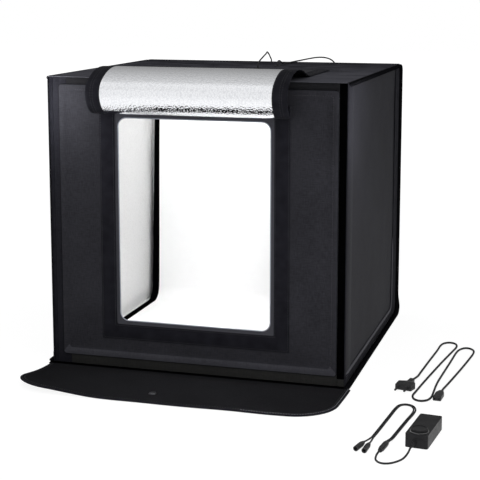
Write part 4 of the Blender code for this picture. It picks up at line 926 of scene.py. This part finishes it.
def make_door():
    low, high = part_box("door_cloth")
    left, foot, right, top, face = low.x, low.z, high.x, high.z, low.y

    def rim_loop(inset, radius):
        return rounded_loop(left + inset, foot + inset, right - inset, top - inset, radius)

    cut = rounded_loop(-WINDOW_HALF - LIP_WIDTH, WINDOW_SILL - LIP_WIDTH, WINDOW_HALF + LIP_WIDTH,
                       WINDOW_TOP + LIP_WIDTH, LIP_CORNER)
    inner = rim_loop(HEM_WIDTH, 0.008)
    loops = [(between(cut, inner, share), face, 0) for share in (0.0, 0.12, 0.3, 0.5, 0.7, 0.88, 1.0)]
    loops += [(rim_loop(0.0138, 0.008), face - HEM_RISE, 1), (rim_loop(0.0010, 0.0055), face - HEM_RISE, 1),
              (rim_loop(0.0, 0.006), face, 2)]

    def give(x, z):
        """How far the cloth bellies forward, away from its hem and from the flap's tape."""
        held = smooth_step((min(x - left, right - x, z - foot, top - z) - 0.014) / 0.05)
        clear = smooth_step((max(abs(x) - 0.200, 0.060 - z, z - 0.556)) / 0.02)
        return -0.0011 * held * clear * dimple(x, z, 0.09)

    door = ring_sheet("door_fabric", loops, ("door_cloth", "hem_cloth", "binding"), CLOTH, give=give)
    # Only the bottom hem keeps the paler hem cloth: painted highlight where the hem bulges into the light.
    for part in door.data.polygons:
        if part.material_index == 1 and part.center.z > foot + HEM_WIDTH:
            part.material_index = 0
    back_low, back_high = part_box("door_liner")
    window = rounded_loop(-WINDOW_HALF, WINDOW_SILL, WINDOW_HALF, WINDOW_TOP, WINDOW_CORNER)
    outer = rim_loop(0.0, 0.006)
    loops = [(between(window, outer, share), back_low.y, 0) for share in (0.0, 0.03, 0.08, 0.3, 0.6, 1.0)]
    lining = ring_sheet("door_lining", loops, ("lip_cloth", "wall_foil", "binding"),
                        back_high.y - back_low.y, back=1, rim=2)
    y = back_low.y - 0.0002
    # A thin tube round the window. Its pale colour is a painted highlight along the window's edge.
    piping = rolled_edge("window_piping_highlight", [Vector((x, y, z)) for x, z in window], 0.0011, "lip_piping",
                         upward=(0, 1, 0), closed=True)
    rides(DOOR_BODY, "black_cloth", door, replaces=("door_cloth",))
    rides(DOOR_BODY, "silver_foil", lining, replaces=("door_liner",))
    rides(DOOR_BODY, "silver_foil", piping)
    tape = make_window_tape()
    hem, inset = face - HEM_RISE, HEM_STITCH_INSET
    corners = rectangle(left + HINGE_CLEARANCE, foot + inset, right - inset, top - inset)
    row = rounded_path([(x, hem, z) for x, z in corners], (0.006, 0.006))
    thread = stitch_rows("door_stitches", OUT_OF_DOOR, [row])
    rides(DOOR_BODY, "black_cloth", thread)


TAPE_STITCH_INSET = 0.0022


def make_window_tape():
    """Hook-and-loop tape on three sides of the window, and its stitches."""
    low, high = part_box("window_tape")
    inner, foot = WINDOW_HALF + LIP_WIDTH, WINDOW_SILL - LIP_WIDTH
    outline = [(low.x, low.z), (high.x, low.z), (high.x, high.z), (inner, high.z), (inner, foot),
               (-inner, foot), (-inner, high.z), (low.x, high.z)]
    tape = flat_band("window_loop_tape", outline, upright_at(high.y), "loop_tape", high.y - low.y)
    rows = []
    for inset in (TAPE_STITCH_INSET, TAPE_WIDTH - TAPE_STITCH_INSET):
        left, right, sill, head = low.x + inset, high.x - inset, low.z + inset, high.z - 0.003
        corners = ((left, head), (left, sill), (right, sill), (right, head))
        rows.append([Vector((x, low.y, z)) for x, z in corners])
    thread = stitch_rows("tape_stitches", OUT_OF_DOOR, rows)
    rides(DOOR_BODY, "black_tape", tape, replaces=("window_tape",))
    rides(DOOR_BODY, "black_tape", thread)
    return tape


HEADER_END = 0.006
HEADER_SQUARENESS = 0.55


def make_header():
    """The rolled strip above the window that the flap is sewn to."""
    low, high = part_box("flap_header")
    middle, size = (low + high) / 2, (high - low) / 2

    def squared(value):
        return math.copysign(abs(value) ** HEADER_SQUARENESS, value)

    turns = [2 * math.pi * step / 20 for step in range(20)]
    section = [(size.y * squared(math.cos(turn)), size.z * squared(math.sin(turn))) for turn in turns]
    ends = [(x, middle.y, middle.z) for x in (low.x + HEADER_END, high.x - HEADER_END)]
    bm = bmesh.new()
    swept(bm, section, stations_along(straight(*ends, 41), (0, 0, 1)))
    roll = closed_piece(bm, "flap_header_roll", "loop_tape")
    rides(DOOR_BODY, "black_cloth", roll, replaces=("flap_header",))


# Window flap


def flap_heading(angle):
    """Direction of the flap in (y, z), at a turn from hanging down through forward and up to back."""
    return Vector((-math.sin(math.radians(angle)), -math.cos(math.radians(angle))))


FOIL_HALF = 0.1745
END_TRIM = 0.095


def flap_path(root, roof, total):
    """Points (y, z) along the open flap, from the sewn line to its free end."""
    climb, angle = 0.0, 90.0
    for turn, size in FLAP_TURNS:
        if turn:
            radius = math.copysign(size, turn)
            climb += radius * (math.sin(math.radians(angle)) - math.sin(math.radians(angle + turn)))
            angle += turn
        elif size:
            climb += flap_heading(angle).y * size
    rise = roof - root.y - climb
    runs = [(FLAP_ROOT_RUN, 0.0)]
    runs += [(math.radians(abs(turn)) * size if turn else size or rise, turn) for turn, size in FLAP_TURNS]
    runs.append((total - sum(run for run, _ in runs), 0.0))
    angle, points = 90.0, [root.copy()]
    for distance, turn in runs:
        steps = max(1, round(distance / FLAP_STEP))
        for _ in range(steps):
            angle += turn / steps / 2
            points.append(points[-1] + flap_heading(angle) * distance / steps)
            angle += turn / steps / 2
    return points


FLAP_SLOTS = ("flap_foil", "loop_tape", "loop_tape", "door_cloth", "dark_thread")


def flap_section():
    """Half of the flap's section, foil side up, from the middle to the bound edge and back under it."""
    half = FLAP_THICKNESS / 2
    foil = [(FOIL_HALF * step / 8, half) for step in range(9)]
    trim = [(0.1752, half + 0.0001), (0.1905, half + 0.0001), (0.1917, half)]
    roll = [(0.1925, half + 0.0001), (0.1955, half + 0.0002), (0.2005, half + 0.0002), (0.2040, half),
            (0.2050, 0.0), (0.2040, -half - 0.0001), (0.2005, -half - 0.0002), (0.1925, -half - 0.0001)]
    under = [(0.1917 * step / 6, -half) for step in range(6, -1, -1)]
    right = foil + trim + roll + under
    return right + [(-u, v) for u, v in right[-2:0:-1]]


def flap_slot(u, v):
    if abs(u) > 0.1917:
        return 2
    if v < 0.0:
        return 3
    return 0 if abs(u) < FOIL_HALF + 0.0003 else 1


FLAP_STITCHES = ((0.1765, 0.0007), (0.1893, 0.0007), (0.1942, 0.0008))
FLAP_STRETCHES = 6


def make_flap():
    """The open flap in six stretches, from the middle of one stiff panel to the middle of the next."""
    root = Vector((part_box("flap_header")[0].y + FLAP_THICKNESS / 2, WINDOW_TOP + 0.010))
    total = root.y - (WINDOW_SILL - LIP_WIDTH - TAPE_WIDTH)
    points = flap_path(root, HEIGHT + FIT + FLAP_THICKNESS / 2, total)
    lengths = lengths_along(points)
    cuts = [share * total for share in FLAP_CUT_SHARES]
    middles = [0.0006] + [(a + b) / 2 for a, b in zip(cuts[:-2], cuts[1:-1])] + [total]

    def station(target):
        before, place, after = (spot_at(points, lengths, min(max(length, 0.0), total))[0]
                                for length in (target - FLAP_REACH, target, target + FLAP_REACH))
        along = (after - before).normalized()
        columns = (Vector((1, 0, 0)), Vector((0.0, -along.y, along.x)), -Vector((0.0, along.x, along.y)))
        return Matrix.Translation((0.0, place.x, place.y)) @ Matrix(columns).transposed().to_4x4()

    thread = FLAP_SLOTS.index("dark_thread")
    bodies = [DOOR_BODY] + [f"flap_{number}" for number in range(1, FLAP_STRETCHES)]
    for number in range(1, FLAP_STRETCHES + 1):
        start, end = middles[number - 1], middles[number]
        steps = max(6, round((end - start) / FLAP_STEP))
        stations = [station(start + (end - start) * step / steps) for step in range(steps + 1)]
        bm = bmesh.new()
        swept(bm, flap_section(), stations, choose=flap_slot, along_start=start)
        bmesh.ops.recalc_face_normals(bm, faces=bm.faces)
        trim_free_end(bm, total)
        for side in (-1, 1):
            for offset, lift in FLAP_STITCHES:
                row = [place @ Vector((side * offset, lift, 0.0)) for place in stations]
                sew(bm, row, lambda spot: nearest_outward(spot, stations), slot=thread)
        piece = piece_from(bm, f"flap_cloth_{number}", *FLAP_SLOTS)
        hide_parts(f"flap_panel_{number}")
        if number < FLAP_STRETCHES:
            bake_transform(piece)
        else:
            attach(piece, bodies[-1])


def trim_free_end(bm, total):
    """Black tape and a bound edge across the end of the flap that is not sewn on."""
    sheet = bm.loops.layers.uv["Cloth"]
    for face in bm.faces:
        from_end = total - sum(loop[sheet].uv.y for loop in face.loops) / len(face.loops)
        if from_end < END_TRIM and face.material_index == 0:
            face.material_index = 2 if from_end < 0.006 else 3


def nearest_outward(spot, stations):
    near = min(stations, key=lambda place: (place.translation.yz - spot.yz).length)
    return near.to_3x3() @ Vector((0.0, 1.0, 0.0))


# Apron


APRON_BODY = "apron"
CURL_HEIGHT = 0.014
CURL_START = 0.105
REAR_TUCK = 0.030
APRON_CELLS = 72
APRON_STRAIGHT_ROWS = 9


def make_apron():
    """The closing flap in front: one sheet with a bound edge, its left front corner curled up."""
    low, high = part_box("apron_binding")
    sheet_low, sheet_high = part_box("apron_sheet")
    snap = middle_of("apron_snap")
    rear, front, half, top = high.y, low.y, high.x, sheet_high.z
    thickness = sheet_high.z - sheet_low.z

    def ahead(y):
        """0 at the sewn rear edge, 1 at the front edge."""
        return smooth_step((rear - y) / (rear - front))

    def lift(x, y):
        """Rise of the apron off the floor: the curled corner and a slight unevenness."""
        corner = smooth_step((-CURL_START - x) / (half - CURL_START))
        calm = smooth_step((Vector((x, y)) - snap.xy).length / 0.08 - 0.25)
        return CURL_HEIGHT * corner ** 1.3 * ahead(y) ** 1.6 + 0.0013 * dimple(x, y, 0.11) * ahead(y) * calm

    def belly(x, y):
        """How far the front edge swings forward of a straight line."""
        bow = 0.006 * math.cos(math.radians(90) * min(1.0, abs(x + 0.02) / half))
        return -ahead(y) * (bow + 0.0012 * math.sin(x * 38))

    def tuck(x, y):
        """The left rear corner draws in to the corner of the tent, and the left front corner swings out."""
        right = max(0.0, x / half) ** 4 * 0.0045 * (1 - ahead(y))
        return x + right + max(0.0, -x / half) ** 2 * half * (REAR_TUCK * (1 - ahead(y)) - 0.012 * ahead(y))

    def on_apron(x, y, height=0.0):
        return Vector((tuck(x, y), y + belly(x, y), top + lift(x, y) + height))

    rows = [(front + APRON_CORNER * (1 - math.cos(math.radians(turn))),
             half - APRON_CORNER * (1 - math.sin(math.radians(turn)))) for turn in range(0, 91, 9)]
    last = rows[-1][0]
    rows += [(last + (rear - last) * step / APRON_STRAIGHT_ROWS, half)
             for step in range(1, APRON_STRAIGHT_ROWS + 1)]
    bm = bmesh.new()
    bmesh.ops.create_grid(bm, x_segments=APRON_CELLS, y_segments=len(rows) - 1, size=0.5)
    for vert in bm.verts:
        y, reach = rows[round((vert.co.y + 0.5) * (len(rows) - 1))]
        vert.co = Vector((vert.co.x * 2 * reach, y, top))
    lay_cloth(bm, lambda spot: spot.xy)
    for vert in bm.verts:
        vert.co = on_apron(vert.co.x, vert.co.y)
    piece = piece_from(bm, "apron_fabric", "apron_cloth", "band_cloth")
    thicken(piece, thickness, back=1, rim=1)
    front_half = rows[0][1]
    edge = [(-reach, y) for y, reach in reversed(rows)]
    edge += [(front_half * (step / 24 - 1), front) for step in range(1, 48)]
    edge += [(reach, y) for y, reach in rows]
    path = [on_apron(x, y, -thickness / 2) for x, y in edge]
    roll = rolled_edge("apron_rolled_edge", path, 0.0026, "loop_tape", upward=(0, 0, 1), flatten=0.72)

    def inset_row(inset):
        made = []
        for index, spot in enumerate(edge):
            before, after = Vector(edge[max(index - 1, 0)]), Vector(edge[min(index + 1, len(edge) - 1)])
            along = (after - before).normalized()
            x, y = Vector(spot) + Vector((-along.y, along.x)) * inset
            made.append(on_apron(x, y, 0.0002))
        return made

    # Pale stitches near the right front corner: stitching, with a painted highlight of the bound edge
    # catching light there.
    corner = [spot for spot in inset_row(0.0022) if spot.x > 0.15]
    up = (0, 0, 1)
    thread = stitch_rows("apron_stitches", up, [inset_row(0.0060)], "black_thread", length=0.0038,
                         width=0.0009)
    pale = stitch_rows("apron_pale_stitch_highlight", up, [corner], "pale_thread", length=0.0042, width=0.0022)
    rides(APRON_BODY, "black_cloth", piece, replaces=("apron_sheet",))
    rides(APRON_BODY, "black_tape", roll, replaces=("apron_binding",))
    rides(APRON_BODY, "black_tape", thread, pale)
    for soft in (piece, roll, thread, pale):
        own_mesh(soft)


def make_apron_crease_shadow():
    """Black strip along the foot of the front where the apron meets it: painted shadow in the crease."""
    front, back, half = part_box("apron_binding")[1].y + 0.0024, -HALF_DEPTH - 0.0006, HALF_WIDTH + 0.006

    def on_floor(u, v, height):
        return Vector((u, v, 0.0012 + height + 0.0012 * smooth_step((v - front) / (back - front))))

    outline = rectangle(-half, front, half, back)
    # Near-black tape lying in the crease: painted shadow.
    crease = flat_band("apron_crease", outline, on_floor, "closure_tape", 0.0014)
    rides(TENT, "black_tape", crease)


# Backdrop


SHEET_HALF_THICKNESS = 0.0004
BACKDROP_STEPS = 16


def make_backdrop():
    """White sheet hung at the rear and swept onto the floor, with a black bound edge down each side."""
    low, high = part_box("backdrop")
    thin, half = SHEET_HALF_THICKNESS, high.x
    rear, foot = high.y - thin, low.z + thin
    corners = [(rear, high.z), (rear, high.z - 0.020), (rear - 0.034, foot), (low.y, foot)]
    path = close_up(rounded_path(corners, (BACKDROP_BEND, BACKDROP_BEND), 10), 0.02)
    places = [Vector((0.0, *spot)) for spot in path]
    stations = stations_along(places, (0, -1, 1))
    across = [half * (2 * step / BACKDROP_STEPS - 1) for step in range(BACKDROP_STEPS + 1)]
    bm = bmesh.new()
    swept(bm, [(u, thin) for u in across] + [(-u, -thin) for u in across], stations, choose=lambda u, v: 0)
    sheet = closed_piece(bm, "backdrop_sheet", "backdrop_white")
    rides(TENT, "white_sheet", sheet, replaces=("backdrop",))
    bindings = []
    for side, sign in (("left", -1), ("right", 1)):
        near, far = sorted(corner.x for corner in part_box(f"backdrop_binding_{side}"))
        section = [(near, 0.0), (near + 0.001, 0.001), (far - 0.001, 0.001), (far, 0.0),
                   (far - 0.001, -0.001), (near + 0.001, -0.001)]
        bm = bmesh.new()
        swept(bm, section, stations, choose=lambda u, v: 0)
        for vert in bm.verts:
            if abs(vert.co.x) < (abs(near) + abs(far)) / 2:
                vert.co.x -= sign * (0.0035 + 0.0045 * smooth_step((foot + 0.45 - vert.co.z) / 0.45))
        bindings.append(closed_piece(bm, f"backdrop_bound_edge_{side}", "closure_tape"))
        rides(TENT, "black_tape", bindings[-1], replaces=(f"backdrop_binding_{side}",))
    low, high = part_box("backdrop_tape")
    tape = flat_band("backdrop_hanging_tape", rectangle(low.x, low.z, high.x, high.z), upright_at(high.y),
                     "closure_tape", high.y - low.y)
    rides(TENT, "black_tape", tape, replaces=("backdrop_tape",))


# Rigid pieces kept from the solids


KEPT = {
    "adapter_plastic": ("adapter_base", "adapter_cover", "dimmer_control"),
    "knob_plastic": ("dimmer_knob",),
    "plug_plastic": ("mains_plug", "mains_connector", "mains_inlet", "inline_connector",
                     "front_lead_socket", "rear_lead_socket", "splitter_socket_left",
                     "splitter_socket_right"),
    "rubber": ("front_roof_grommet", "rear_roof_grommet", "dc_strain_relief"),
    "bar_metal": ("front_bar_housing", "rear_bar_housing"),
    "diffuser": ("front_diffuser", "rear_diffuser"),
    "light_strip": ("front_light_strip", "rear_light_strip"),
    "snap_metal": ("apron_snap",),
}


def dress_solids():
    for finish, names in KEPT.items():
        for name in names:
            materials = NODES[name].data.materials
            materials.clear()
            materials.append(FINISHES[finish])


def make_dial_ring():
    """Thin light line on the adapter's cover, round the dimmer."""
    low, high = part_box("dimmer_knob")
    middle, reach = (low + high) / 2, (high.x - low.x) / 2 + 0.0016
    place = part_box("adapter_cover")[1].z
    path = [Vector((middle.x + x, middle.y + y, place)) for x, y in circle(reach, 48)]
    ring = rolled_edge("dial_line", path, 0.0005, "dial_ring", upward=(0, 0, 1), flatten=0.5, closed=True)
    rides(TENT, "adapter_plastic", ring)


# Stage and lights


def make_stage():
    """A pale floor that the camera sees as white, and that mirrors see darker with distance."""
    bm = bmesh.new()
    bmesh.ops.create_grid(bm, x_segments=2, y_segments=2, size=9.0)
    floor = piece_from(bm, "floor", "rubber")
    floor.data.transform(Matrix.Translation((0.0, 3.0, -0.0002)))
    made = bpy.data.materials.new("studio_floor")
    made.use_nodes = True
    tree = made.node_tree
    shader = tree.nodes["Principled BSDF"]
    where = node(tree, "TexCoord").outputs["Object"]
    colour = mixed(tree, speckle(tree, where, 3.0), (0.90, 0.90, 0.90, 1.0), (0.92, 0.92, 0.92, 1.0))
    feed_all(tree, shader, {"Base Color": colour, "Roughness": 0.75})
    far = node(tree, "VectorMath", where, operation="LENGTH").outputs["Value"]
    fade = calculate(tree, "MAXIMUM", spread(tree, times_plus(tree, far, 0.5, -0.35), 0.0, 1.0), 0.82)
    near = calculate(tree, "MAXIMUM", times_plus(tree, far, -0.09, 0.95), 0.55)
    light = node(tree, "LightPath").outputs
    glow = node(tree, "Emission", None, 1.1)
    amount = times_plus(tree, fade, light["Is Camera Ray"], times(tree, near, light["Is Glossy Ray"]))
    join = node(tree, "MixShader", amount, shader.outputs[0], glow.outputs[0])
    feed(tree, tree.nodes["Material Output"].inputs["Surface"], join.outputs[0])
    floor.data.materials[0] = made


WORLD_LEVEL = 0.835
FRONT_GAIN = 0.55
WORLD_MOST = 0.86
WHITE = (1.0, 1.0, 1.0, 1.0)


def make_world():
    """Soft grey light, stronger from the front. The camera sees it as white."""
    world = bpy.data.worlds.new("studio")
    bpy.context.scene.world = world
    world.use_nodes = True
    tree = world.node_tree
    plain = tree.nodes["Background"]
    ahead = parts_of(tree, node(tree, "TexCoord").outputs["Generated"])["Y"]
    level = calculate(tree, "MINIMUM", times_plus(tree, ahead, -FRONT_GAIN, WORLD_LEVEL), WORLD_MOST)
    feed_all(tree, plain, {"Color": WHITE, "Strength": level})
    white = node(tree, "Background", WHITE, 1.0)
    seen = node(tree, "LightPath").outputs["Is Camera Ray"]
    join = node(tree, "MixShader", seen, plain.outputs[0], white.outputs[0])
    feed(tree, tree.nodes["World Output"].inputs["Surface"], join.outputs[0])


def lamp(name, place, target, size, energy, size_y=None):
    data = bpy.data.lights.new(name, "AREA")
    data.shape = "RECTANGLE"
    data.size = size
    data.size_y = size_y or size
    data.energy = energy
    light = add_object(name, data)
    light.location = place
    light.rotation_euler = (Vector(target) - Vector(place)).to_track_quat("-Z", "Y").to_euler()


BAR_WATTS = 1.2


def make_lights():
    """Soft lamps round the tent, small ones for its corners and one under each light bar."""
    lamp("soft_key", (-1.9, -3.0, 1.15), (-0.1, -0.2, 0.40), 2.8, 1.6, 2.0)
    lamp("soft_top", (0.4, -1.2, 2.6), (0.0, 0.0, 0.4), 2.4, 1.5)
    lamp("soft_fill", (2.7, -0.9, 1.3), (0.3, 0.0, 0.35), 1.6, 2.5)
    lamp("left_glow", (-0.31, -0.395, 0.565), (-0.28, -0.3, 0.52), 0.08, 0.40)
    lamp("right_glow", (0.48, -0.30, 0.55), (0.31, -0.24, 0.51), 0.10, 0.85)
    lamp("low_glow", (0.42, -0.80, 0.26), (0.22, -0.3, 0.12), 0.25, 0.8)
    lamp("inner_glow", (0.0, 0.0, 0.07), (-0.31, 0.0, 0.15), 0.2, 0.26)
    for name in ("front_diffuser", "rear_diffuser"):
        low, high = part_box(name)
        place = Vector((*((low + high) / 2).xy, low.z - 0.002))
        below = place - Vector((0, 0, 1))
        lamp(name.replace("diffuser", "bar_glow"), place, below, high.x - low.x, BAR_WATTS, high.y - low.y)


place_camera()
make_finishes()
make_cords()
dress_solids()
for side_name, side_sign in (("left", -1), ("right", 1)):
    make_side(side_name, side_sign)
make_shell()
make_front_bands()
make_door()
make_header()
make_flap()
make_apron()
make_apron_crease_shadow()
make_backdrop()
make_dial_ring()
make_stage()
make_world()
make_lights()
bpy.context.scene.view_settings.view_transform = "Standard"
